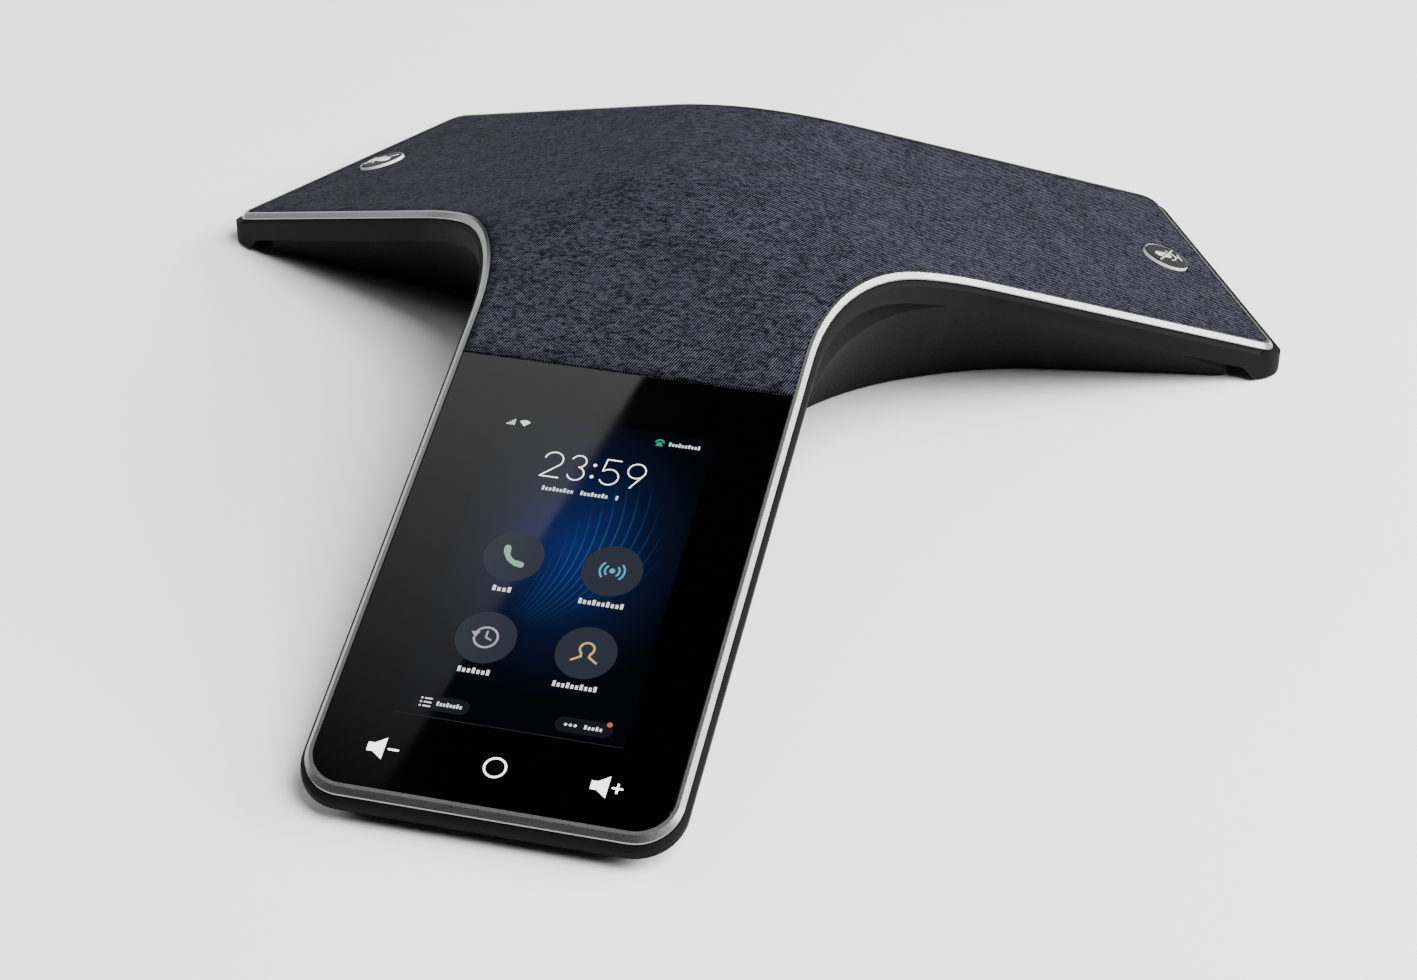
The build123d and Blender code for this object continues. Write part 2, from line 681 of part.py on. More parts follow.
def make_display_cable():
    """Flat cable from the display's board down to the main board."""
    start = leg_plane(DECK_BOTTOM + BRACKET_THICKNESS + 1.65, along=SCREEN_MIDDLE + 45.3).origin
    with BuildPart() as cable:
        with BuildSketch(Plane.YZ):
            with BuildLine():
                Polyline(
                    (start.Y, start.Z),
                    (start.Y + 14, start.Z + 2),
                    (HUB_Y - 36, BOARD_Z + 11),
                    (HUB_Y - 18, BOARD_Z + BOARD_THICKNESS + 1.5),
                    (HUB_Y - 11.6, BOARD_Z + BOARD_THICKNESS + 1.5),
                )
            trace(line_width=0.4)
        extrude(amount=9, both=True)
    return cable.part


# ---- mute keys ---------------------------------------------------------------------------
def make_key_ring(side):
    """Thin bright ring around a mute key, standing proud of the cloth."""
    with BuildPart() as ring:
        with BuildSketch(arm_plane(side, KEY_DISTANCE, DECK_TOP)):
            Circle(RING_RADIUS)
            Circle(RING_RADIUS - RING_WALL, mode=Mode.SUBTRACT)
        extrude(amount=DECK_TOP + KEY_PROUD - 0.15)
    return ring.part


def make_mute_key(side):
    """Round key cap with its stem, pressed into the arm."""
    with BuildPart() as key:
        with BuildSketch(arm_plane(side, KEY_DISTANCE, KEY_SKIRT_DEPTH)):
            Circle(KEY_RADIUS)
        extrude(amount=KEY_SKIRT_DEPTH + KEY_PROUD)
        crown = key.faces().sort_by_distance(arm_plane(side, KEY_DISTANCE, -30).origin)[0]
        fillet(crown.edges(), 0.3)
        with BuildSketch(arm_plane(side, KEY_DISTANCE, KEY_STEM_DEPTH)):
            Circle(KEY_STEM_RADIUS)
        extrude(amount=KEY_STEM_DEPTH - KEY_SKIRT_DEPTH)
    return key.part


def make_key_switch(side):
    """Low click switch under a mute key's stem, with its plunger."""
    top = KEY_STEM_DEPTH + KEY_TRAVEL + 0.05
    with BuildPart() as switch:
        with BuildSketch(arm_plane(side, KEY_DISTANCE, top + 1.2)):
            RectangleRounded(5.2, 5.2, 0.5)
        extrude(amount=0.8)
        with BuildSketch(arm_plane(side, KEY_DISTANCE, top + 0.4)):
            Circle(1.2)
        extrude(amount=0.4)
    return switch.part


def make_key_board(side):
    """Small board that carries the click switch."""
    top = KEY_STEM_DEPTH + KEY_TRAVEL + 0.05 + 1.2
    with BuildPart() as board:
        with BuildSketch(arm_plane(side, KEY_DISTANCE, top + 0.8)):
            RectangleRounded(12, 30, 1)
        extrude(amount=0.8)
    return board.part


# ---- microphones -------------------------------------------------------------------------
def one_side(pair, side):
    """The solid of a mirrored pair that lies on one side."""
    return pair.solids().sort_by(Axis.X)[-1 if side > 0 else 0]


def make_mic_boots():
    """Rubber boots that lead the sound from the holes to the microphones."""
    with BuildPart() as boots:
        add(mic_block(MIC_DEPTH - 1.9, 3.6, HALF_WIDTH - WALL_THICKNESS - 0.1, 1.6, 23.0))
        add(mic_bores(0.9, 40, HALF_WIDTH), mode=Mode.SUBTRACT)
    return boots.part


def make_mic_boards():
    """Boards behind the boots, with sound ports under the capsules."""
    with BuildPart() as boards:
        add(mic_block(MIC_DEPTH - 1.9, 3.6, HALF_WIDTH - WALL_THICKNESS - 1.7, 0.8, 23.0))
        add(mic_bores(0.5, 40, HALF_WIDTH), mode=Mode.SUBTRACT)
    return boards.part


def make_mic_capsules():
    """Four surface-mounted microphone capsules."""
    spacing = MIC_SPACING / cos(radians(ARM_SLOPE))
    front = HALF_WIDTH - WALL_THICKNESS - 2.5
    with BuildPart() as capsules:
        for side in SIDES:
            surface = arm_plane(side, MIC_MIDDLE, MIC_DEPTH)
            outward = surface.y_dir
            with BuildSketch(Plane(surface.origin + outward * (front - 1.0), surface.x_dir, outward)):
                with GridLocations(spacing, 1, 2, 1):
                    RectangleRounded(3.8, 2.8, 0.3)
            extrude(amount=1.0)
    return capsules.part


# ---- loudspeaker -------------------------------------------------------------------------
def turned(*points):
    """Solid turned about the hub axis from (radius, height) corners."""
    with BuildPart() as solid:
        with BuildSketch(Plane.XZ.offset(-HUB_Y)):
            with BuildLine():
                Polyline(*points, close=True)
            make_face()
        revolve(axis=Axis((0, HUB_Y, 0), (0, 0, 1)))
    return solid.part


def make_speaker_basket():
    """Stamped basket with a flange, six windows and a seat for the spider."""
    with BuildPart() as basket:
        add(turned((9, 38), (20, 38), (22, 40), (34.5, 52.5), (39, 53.4), (43, 53.4), (43, 55), (35.8, 55),
                   (33.6, 53.2), (21, 42.6), (17, 42.6), (17, 41.4), (19.4, 41.4), (18.4, 39.2),
                   (9, 39.2)))
        with BuildSketch(Plane.XY.offset(BOX_FLOOR)):
            with Locations((0, HUB_Y)):
                with PolarLocations(28.0, 6):
                    RectangleRounded(8, 15, 2)
        extrude(amount=FLANGE_TOP - BOX_FLOOR - 2.5, mode=Mode.SUBTRACT)
        with BuildSketch(Plane.XY.offset(BOX_FLOOR)):
            with Locations((0, HUB_Y)):
                with PolarLocations(SPEAKER_SCREW_CIRCLE, 4, start_angle=45):
                    Circle(SPEAKER_SCREW_RADIUS + 0.2)
        extrude(amount=SKY, mode=Mode.SUBTRACT)
    return basket.part


def make_speaker_surround():
    """Half-round rubber roll between the cone and the flange."""
    with BuildPart() as roll:
        with BuildSketch(Plane.XZ.offset(-HUB_Y)):
            with Locations((35.0, FLANGE_TOP + 0.1)):
                Circle(2.6)
                Circle(2.1, mode=Mode.SUBTRACT)
                Rectangle(6, 6, align=(Align.CENTER, Align.MAX), mode=Mode.SUBTRACT)
            with Locations((37.4, FLANGE_TOP + 0.1)):
                Rectangle(2.0, 0.5, align=(Align.MIN, Align.MIN))
            with Locations((32.9, FLANGE_TOP + 0.1)):
                Rectangle(1.6, 0.5, align=(Align.MAX, Align.MIN))
        revolve(axis=Axis((0, HUB_Y, 0), (0, 0, 1)))
    return roll.part


def make_speaker_gasket():
    """Foam ring that seals the loudspeaker box against the deck."""
    with BuildPart() as gasket:
        with BuildSketch(Plane.XY.offset(BOX_FLOOR + 20)):
            with Locations((0, HUB_Y)):
                Circle(BOX_RADIUS - 0.5)
                Circle(BOX_RADIUS - 3.5, mode=Mode.SUBTRACT)
        extrude(amount=SKY)
        add(roof(DECK_BOTTOM + 0.05), mode=Mode.INTERSECT)
        add(roof(DECK_BOTTOM + 1.0), mode=Mode.SUBTRACT)
    return gasket.part


def make_speaker_box():
    """Closed back box of the loudspeaker, with a ledge for its flange."""
    with BuildPart() as box:
        with BuildSketch(Plane.XY.offset(BOX_FLOOR)):
            with Locations((0, HUB_Y)):
                Circle(BOX_RADIUS)
        extrude(amount=SKY)
        add(roof(DECK_BOTTOM + 1.05), mode=Mode.INTERSECT)
        add(turned((0, BOX_FLOOR + 2), (BOX_RADIUS - 7.5, BOX_FLOOR + 2), (BOX_RADIUS - 7.5, 53.4),
                   (BOX_RADIUS - 3.5, 53.4), (BOX_RADIUS - 3.5, SKY), (0, SKY)), mode=Mode.SUBTRACT)
        with BuildSketch(Plane.XY.offset(40)):
            with Locations((0, HUB_Y)):
                with PolarLocations(SPEAKER_SCREW_CIRCLE, 4, start_angle=45):
                    Circle(SPEAKER_SCREW_RADIUS)
        extrude(amount=30, mode=Mode.SUBTRACT)
    return box.part


# ---- boards and sockets ------------------------------------------------------------------
def board_spots():
    """(x, y) of the screws that hold the main board."""
    return [(x, HUB_Y + y) for x in (-31.0, 31.0) for y in (-6.0, 26.0)]


def board_block(x, y, width, length, height, lift=0.0):
    """Component standing on the main board, centred at (x, HUB_Y + y)."""
    with BuildPart() as block:
        with BuildSketch(Plane.XY.offset(BOARD_Z + BOARD_THICKNESS + lift)):
            with Locations((x, HUB_Y + y)):
                Rectangle(width, length)
        extrude(amount=height)
    return block.part


def make_main_board():
    """Main circuit board under the loudspeaker, with its screw holes."""
    with BuildPart() as board:
        with BuildSketch(Plane.XY.offset(BOARD_Z)):
            with Locations((0, HUB_Y + 18.0)):
                RectangleRounded(71, 60, 3)
        extrude(amount=BOARD_THICKNESS)
        for x, y in board_spots():
            with BuildSketch(Plane((x, y, BOARD_Z))):
                Circle(BOARD_SCREW_RADIUS + 0.3)
            extrude(amount=BOARD_THICKNESS, mode=Mode.SUBTRACT)
    return board.part


def make_board_screws():
    """Pan-head screws that hold the main board on its posts."""
    with BuildPart() as screws:
        for x, y in board_spots():
            with BuildSketch(Plane((x, y, FLOOR_HEIGHT + SHELL + 1))):
                Circle(BOARD_SCREW_RADIUS - 0.05)
            extrude(amount=BOARD_Z + BOARD_THICKNESS - FLOOR_HEIGHT - SHELL - 1)
            with BuildSketch(Plane((x, y, BOARD_Z + BOARD_THICKNESS))):
                Circle(2.0)
            extrude(amount=1.4)
            with BuildSketch(Plane((x, y, BOARD_Z + BOARD_THICKNESS + 0.7))):
                Rectangle(2.4, 0.5)
                Rectangle(0.5, 2.4)
            extrude(amount=1, mode=Mode.SUBTRACT)
    return screws.part


def make_shield_can():
    """Pressed screening can over the processor and the radio."""
    with BuildPart() as can:
        add(board_block(*PROCESSOR_PLACE, 34, 28, 3.2))
        add(board_block(*PROCESSOR_PLACE, 33.4, 27.4, 2.9), mode=Mode.SUBTRACT)
        fillet(can.edges().filter_by(Axis.Z).group_by(SortBy.LENGTH)[-1], 0.1)
    return can.part


def make_processor():
    """Processor package under the screening can."""
    return board_block(*PROCESSOR_PLACE, 17, 17, 1.4)


def make_board_connectors():
    """Row of cable sockets and two capacitors on the main board."""
    with BuildPart() as group:
        add(board_block(0, -9.2, 19.4, 4.2, 1.3))
        add(board_block(19, -6, 10, 5, 5))
        add(board_block(27, 6, 8, 5, 5))
        with BuildSketch(Plane.XY.offset(BOARD_Z + BOARD_THICKNESS)):
            with Locations((14, HUB_Y + 14), (24, HUB_Y + 17)):
                Circle(4)
        extrude(amount=10)
    return group.part


def make_antenna(side):
    """Stub antenna board standing in an arm's root."""
    with BuildPart() as antenna:
        with BuildSketch():
            with Locations(Location((side * 72, HUB_Y + 36), (0, 0, side * ARM_ANGLE))):
                Rectangle(32, 0.8)
        extrude(amount=18)
        add(lower_mass(SHELL), mode=Mode.INTERSECT)
    return antenna.part


def socket_openings():
    """x centre, width, bottom and height of each socket's mouth in the panel."""
    base = BOARD_Z + BOARD_THICKNESS
    return {
        "ethernet": (-18.0, ETHERNET_WIDTH, base, ETHERNET_HEIGHT),
        "usb_a": (3.0, 14.4, base, 7.0),
        "usb_c": (17.0, 9.4, base, 3.6),
        "audio": (28.0, 7.0, base, 6.0),
    }


def make_port_panel():
    """Panel around the sockets, set in the recess at the rear."""
    bottom = FLOOR_HEIGHT + SHELL
    with BuildPart() as panel:
        with BuildSketch(Plane.XZ.offset(-HUB_Y - PORT_FACE)):
            with Locations((0, (PORT_TOP + bottom) / 2)):
                Rectangle(2 * PORT_HALF_WIDTH - 0.1, PORT_TOP - bottom - 0.1)
            for x, width, base, height in socket_openings().values():
                with Locations((x, base + height / 2)):
                    Rectangle(width + 0.2, height + 0.2, mode=Mode.SUBTRACT)
            with Locations((-31.0, 15.0)):
                SlotOverall(7.0, 3.0, rotation=90, mode=Mode.SUBTRACT)
        extrude(amount=PANEL_THICKNESS)
    return panel.part


def make_ethernet_jack():
    """Modular network socket with a stepped mouth for the plug's latch."""
    x, width, base, height = socket_openings()["ethernet"]
    with BuildPart() as jack:
        add(board_block(x, PORT_FACE - 10.5, width, 21.0, height))
        with BuildSketch(Plane.XZ.offset(-HUB_Y - PORT_FACE)):
            with Locations((x, base + 7.6)):
                Rectangle(11.9, 8.0)
            with Locations((x, base + 2.9)):
                Rectangle(6.2, 2.4)
            with Locations((x, base + 1.4)):
                Rectangle(4.0, 1.6)
        extrude(amount=14.0, mode=Mode.SUBTRACT)
    return jack.part


def make_ethernet_contacts():
    """Eight sprung contacts in the network socket."""
    x, width, base, height = socket_openings()["ethernet"]
    with BuildPart() as contacts:
        with BuildSketch(Plane.YZ.offset(x - 3.5 * 1.02 - 0.2)):
            with BuildLine():
                Polyline(
                    (HUB_Y + PORT_FACE - 3.0, base + 11.4),
                    (HUB_Y + PORT_FACE - 10.5, base + 9.4),
                    (HUB_Y + PORT_FACE - 13.6, base + 11.2),
                )
            trace(line_width=0.35)
        extrude(amount=0.4)
        single = contacts.part
        for step in range(1, 8):
            add(Pos(1.02 * step, 0, 0) * single)
    return contacts.part


def make_usb_a_jack():
    """Metal shell of the full-size USB socket with its tongue."""
    x, width, base, height = socket_openings()["usb_a"]
    with BuildPart() as jack:
        add(board_block(x, PORT_FACE - 7.0, width - 0.2, 14.0, height - 0.2))
        with BuildSketch(Plane.XZ.offset(-HUB_Y - PORT_FACE)):
            with Locations((x, base + (height - 0.2) / 2)):
                Rectangle(12.6, 5.2)
            with Locations((x, base + (height - 0.2) / 2 + 0.9)):
                Rectangle(11.2, 1.9, mode=Mode.SUBTRACT)
        extrude(amount=12.0, mode=Mode.SUBTRACT)
    return jack.part


def make_usb_c_jack():
    """Metal shell of the small reversible USB socket with its tongue."""
    x, width, base, height = socket_openings()["usb_c"]
    middle = base + (height - 0.2) / 2
    with BuildPart() as jack:
        with BuildSketch(Plane.XZ.offset(-HUB_Y - PORT_FACE)):
            with Locations((x, middle)):
                SlotOverall(9.2, height - 0.2)
        extrude(amount=8.0)
        with BuildSketch(Plane.XZ.offset(-HUB_Y - PORT_FACE)):
            with Locations((x, middle)):
                SlotOverall(8.4, 2.6)
                Rectangle(6.6, 0.7, mode=Mode.SUBTRACT)
        extrude(amount=6.5, mode=Mode.SUBTRACT)
    return jack.part


def make_audio_jack():
    """Round 3.5 mm audio socket."""
    x, width, base, height = socket_openings()["audio"]
    with BuildPart() as jack:
        add(board_block(x, PORT_FACE - 7.0, width - 0.2, 14.0, height - 0.2))
        with BuildSketch(Plane.XZ.offset(-HUB_Y - PORT_FACE)):
            with Locations((x, base + (height - 0.2) / 2)):
                Circle(AUDIO_RADIUS)
        extrude(amount=AUDIO_DEPTH, mode=Mode.SUBTRACT)
    return jack.part


def make_speaker_screws():
    """Small screws through the loudspeaker's flange."""
    with BuildPart() as screws:
        with BuildSketch(Plane.XY.offset(44)):
            with Locations((0, HUB_Y)):
                with PolarLocations(SPEAKER_SCREW_CIRCLE, 4, start_angle=45):
                    Circle(SPEAKER_SCREW_RADIUS - 0.05)
        extrude(amount=FLANGE_TOP - 44)
        with BuildSketch(Plane.XY.offset(FLANGE_TOP)):
            with Locations((0, HUB_Y)):
                with PolarLocations(SPEAKER_SCREW_CIRCLE, 4, start_angle=45):
                    Circle(1.5)
        extrude(amount=0.9)
    return screws.part


# ---- assembly ----------------------------------------------------------------------------
save(make_trim(), "trim_frame")
save(make_cloth(), "acoustic_cloth")
save(make_grille(), "grille_carrier")
save(make_upper_housing(), "upper_housing")
save(make_lower_housing(), "lower_housing")
save(make_housing_screws(), "housing_screws")
save(make_base_pad(front_pad_sketch()), "front_pad")
save(make_base_pad(rear_pad_sketch()), "rear_pad")
save(make_glass(), "touch_glass")
save(make_display_gasket(), "display_gasket")
save(make_display_panel(), "display_panel")
save(make_display_bracket(), "display_bracket")
save(make_display_board(), "display_board")
save(make_display_cable(), "display_cable")
mic_boots = make_mic_boots()
mic_boards = make_mic_boards()
for side, word in ((1, "right"), (-1, "left")):
    save(make_tip_pad(side), f"{word}_tip_pad")
    save(make_key_ring(side), f"{word}_key_ring")
    save(make_mute_key(side), f"{word}_mute_key")
    save(make_key_switch(side), f"{word}_key_switch")
    save(make_key_board(side), f"{word}_key_board")
    save(one_side(mic_boots, side), f"{word}_mic_boot")
    save(one_side(mic_boards, side), f"{word}_mic_board")
    save(make_antenna(side), f"{word}_antenna")
save(make_mic_capsules(), "mic_capsules")
save(make_speaker_box(), "speaker_box")
save(make_speaker_gasket(), "speaker_gasket")
save(make_speaker_basket(), "speaker_basket")
save(make_speaker_screws(), "speaker_screws")
save(make_speaker_surround(), "speaker_surround")
save(turned((0, 30), (18, 30), (18, 32), (6.2, 32), (6.2, 38), (0, 38)), "magnet_yoke")
save(turned((10, 32), (19, 32), (19, 36), (10, 36)), "magnet_ring")
save(turned((7.6, 36), (17, 36), (17, 38), (7.6, 38)), "magnet_top_plate")
save(turned((6.7, 34.0), (7.1, 34.0), (7.1, 46), (6.7, 46)), "voice_coil")
save(turned((7.15, 42.7), (18.5, 42.7), (18.5, 43.2), (7.15, 43.2)), "speaker_spider")
save(turned((7.15, 44.2), (32.8, 54.3), (32.8, 55), (7.15, 44.9)), "speaker_cone")
save(turned((0, 48.2), (6, 47.8), (10, 46.1), (10, 46.6), (6, 48.3), (0, 48.7)), "dust_cap")
save(make_main_board(), "main_board")
save(make_board_screws(), "board_screws")
save(make_processor(), "processor")
save(make_shield_can(), "shield_can")
save(make_board_connectors(), "board_connectors")
save(make_port_panel(), "port_panel")
save(make_ethernet_jack(), "ethernet_jack")
save(make_ethernet_contacts(), "ethernet_contacts")
save(make_usb_a_jack(), "usb_a_jack")
save(make_usb_c_jack(), "usb_c_jack")
save(make_audio_jack(), "audio_jack")
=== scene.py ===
from math import cos, pi, radians, sin

import bmesh
import bpy
from mathutils import Matrix, Vector


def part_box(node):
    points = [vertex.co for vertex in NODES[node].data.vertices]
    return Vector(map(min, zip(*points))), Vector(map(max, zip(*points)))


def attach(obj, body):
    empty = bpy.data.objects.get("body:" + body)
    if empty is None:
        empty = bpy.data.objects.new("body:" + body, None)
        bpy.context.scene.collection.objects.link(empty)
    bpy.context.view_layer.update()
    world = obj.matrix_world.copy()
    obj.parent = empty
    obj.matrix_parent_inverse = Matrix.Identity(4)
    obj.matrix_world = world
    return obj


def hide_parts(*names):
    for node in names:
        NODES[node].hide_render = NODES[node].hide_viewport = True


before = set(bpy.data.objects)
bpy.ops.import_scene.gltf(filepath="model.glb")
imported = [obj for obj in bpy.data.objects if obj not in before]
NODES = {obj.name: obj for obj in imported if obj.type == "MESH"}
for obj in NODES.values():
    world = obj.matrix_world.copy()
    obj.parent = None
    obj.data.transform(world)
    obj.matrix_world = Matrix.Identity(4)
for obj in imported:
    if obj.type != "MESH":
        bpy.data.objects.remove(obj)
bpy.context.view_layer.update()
MM = 0.001

# ---- slopes of the object, the same as in the CAD model -----------------------------------
LEG_TILT = radians(17.65)
LEG_UP = Vector((0, cos(LEG_TILT), sin(LEG_TILT)))
LEG_OUT = Vector((0, -sin(LEG_TILT), cos(LEG_TILT)))
ARM_SLOPE = radians(21.8)
ARM_ANGLE = radians(30.0)
SIDES = ((-1, "left"), (1, "right"))

# ---- the picture on the touch display, millimetres ----------------------------------------
GLASS_LOW, GLASS_HIGH = [Vector(corner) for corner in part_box("touch_glass")]
GLASS_MIDDLE = (GLASS_LOW + GLASS_HIGH) / 2
GLASS_LENGTH = (GLASS_HIGH.y - GLASS_LOW.y) / cos(LEG_TILT) / MM
PICTURE_WIDTH = 62.1
PICTURE_LENGTH = 102.9
PICTURE_ABOVE_GLASS_MIDDLE = 1.9

# ---- camera -------------------------------------------------------------------------------
CAMERA_FROM_GLASS = Vector((0.2002, -0.6149, 0.4768))    # from the middle of the glass, metres
CAMERA_AZIMUTH = radians(14.46)      # to the right of the display limb's own direction
CAMERA_ELEVATION = radians(34.74)
CAMERA_ROLL = radians(-0.24)
CAMERA_LENS = 75.97
CAMERA_SENSOR = 36.0
CAMERA_NEAR = 0.01

# ---- studio, metres -----------------------------------------------------------------------
FLOOR_SIZE = 16.0
WORLD_STRENGTH = 0.02
AIM_UP_GLASS = 80                    # the soft boxes aim this far up from the glass's middle, mm
SOFT_BOXES = (                       # name, place, width, height, radiance
    ("top_box", (1.05, -0.45, 1.8), 1.3, 1.3, 21.0),
    ("right_box", (2.0, 0.7, 1.15), 2.0, 0.9, 19.0),
    ("left_box", (-2.3, 0.4, 1.3), 1.2, 0.9, 8.0),
)
GLARE_DISTANCE = 1.7                 # from the glass to the soft box that it mirrors
GLARE_WIDTH = 1.3
GLARE_OVERLAP = 0.35                 # mean reach of that box past the mirrored edge's ends
GLARE_RADIANCE = 2.7
GLARE_EDGE_TOP = 5.0                 # where its reflection ends, mm right of the glass's middle
GLARE_EDGE_BOTTOM = -27.0
GLARE_INSIDE = -50.0                 # a spot on the reflection's side of that edge
GLARE_FADE = {"From Min": 0.14, "From Max": 0.88, "To Min": 0.03, "To Max": 1.0}

# ---- cloth, metres ------------------------------------------------------------------------
CLOTH_GRID = 0.005
CLOTH_THICKNESS = 0.0006
CLOTH_EDGE = ((0.00025, 0.00032), (0.00035, 0.00010), (0.0006, 0.00002))   # width, drop
UPPER_FACE = 0.3                     # faces whose normals rise less are not the upper face
SAME_PLACE = 1e-6

# ---- layout of the display's graphics, millimetres right of and up from the picture's middle --
FLAT = 0.02                          # thickness of the backgrounds
THICK = 0.05                         # thickness of the marks
DISC_RADIUS = 8.33
DISC_SPOTS = {
    "call": (-13.8, 2.95),
    "wireless": (13.8, 2.95),
    "recent": (-13.8, -24.2),
    "contact": (13.8, -24.2),
}
# half widths of the labels, and how far they stand below the middles of their discs
LABEL_HALVES = {"call": 2.8, "wireless": 6.4, "recent": 4.6, "contact": 6.2}
LABEL_DROP = {"call": 11.85, "wireless": 11.85, "recent": 11.7, "contact": 11.7}
LABEL_HEIGHT = 1.35
DIGIT_WIDTH, DIGIT_HEIGHT, DIGIT_LINE = 5.2, 8.6, 0.34
DIGIT_BASE = 31.2
DIGIT_LEFTS = (-14.5, -7.4, 2.2, 9.3)
COLON_X, COLON_RISES, COLON_RADIUS = -0.1, (2.0, 6.0), 0.5
# words are given by their left and right ends
DATE_WORDS = ((-12.6, -3.4), (-1.6, 6.4), (8.4, 9.4))
DATE_BASE, DATE_HEIGHT = 26.5, 1.1
STATUS_BASE = 47.2
NUMBER_WORD, NUMBER_BASE = (18.3, 27.4), 47.4
SMALL_WORD_HEIGHT = 1.0
SOFT_KEYS = ((-27.3, -11.7), (11.5, 27.0))
SOFT_KEY_WORDS = ((-20.6, -13.4), (19.4, 24.6))
SOFT_KEY_BOTTOM, SOFT_KEY_TOP, SOFT_KEY_WORD_BASE = -49.2, -44.6, -47.5
EDGE_LINE_HALF, EDGE_LINE_BOTTOM, EDGE_LINE_TOP = 31.0, -51.4, -51.15
VOLUME_DOWN = (-34.6, -62.8)
VOLUME_UP = (25.6, -63.4)
HOME, HOME_RADIUS = (0, -63.1), 2.85
ALERT, ALERT_RADIUS, ALERT_THICK = (25.8, -45.0), 0.75, 0.06

# ---- mute marks, millimetres on a key's face, y up the arm --------------------------------
MARK_THICK, MARK_LINE = 0.1, 0.34
MICROPHONE_HALF, MICROPHONE_TOP, MICROPHONE_BOTTOM = 1.5, 2.7, -0.4
CRADLE_RADIUS = 3.0
STEM_TOP, STEM_BOTTOM, STAND, STAND_HALF = -3.6, -5.0, -5.1, 1.9
SLASH_X, SLASH_Y, SLASH_LINE, SLASH_GAP = 4.4, 4.2, 0.42, 0.55


# ---- places on the object -----------------------------------------------------------------
def face_height(name, middle, out):
    """How far a node reaches beyond a point in a direction, metres."""
    node = NODES[name]
    return max((node.matrix_world @ vertex.co - middle).dot(out) for vertex in node.data.vertices)


def glass_place(right, up, lift=0.0):
    """Point over the display limb: millimetres right of, up from and above the glass's middle."""
    face = face_height("touch_glass", GLASS_MIDDLE, LEG_OUT)
    return GLASS_MIDDLE + MM * (Vector((right, 0, 0)) + LEG_UP * up + LEG_OUT * lift) + LEG_OUT * face


def picture_matrix(lift):
    """Millimetres on the picture, from its middle, to metres in the frame."""
    place = glass_place(0, PICTURE_ABOVE_GLASS_MIDDLE, lift)
    return Matrix.Translation(place) @ Matrix.Rotation(LEG_TILT, 4, "X") @ Matrix.Scale(MM, 4)


def axes_at(place, x_axis, y_axis, z_axis):
    """Matrix that puts an object at a place with the given axes."""
    turn = Matrix((x_axis, y_axis, z_axis)).transposed().to_4x4()
    return Matrix.Translation(place) @ turn


def key_matrix(side, word, lift):
    """Millimetres on a mute key's face, with y pointing up the arm, to metres in the frame."""
    low, high = [Vector(corner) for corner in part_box(f"{word}_key_ring")]
    middle = (low + high) / 2
    axis = Vector((side * cos(ARM_ANGLE), sin(ARM_ANGLE), 0))
    out = axis * sin(ARM_SLOPE) + Vector((0, 0, cos(ARM_SLOPE)))
    up_slope = Vector((0, 0, sin(ARM_SLOPE))) - axis * cos(ARM_SLOPE)
    place = middle + out * (face_height(f"{word}_mute_key", middle, out) + lift * MM)
    return axes_at(place, up_slope.cross(out), up_slope, out) @ Matrix.Scale(MM, 4)


def show(name, data):
    """New object in the scene."""
    made = bpy.data.objects.new(name, data)
    bpy.context.scene.collection.objects.link(made)
    return made


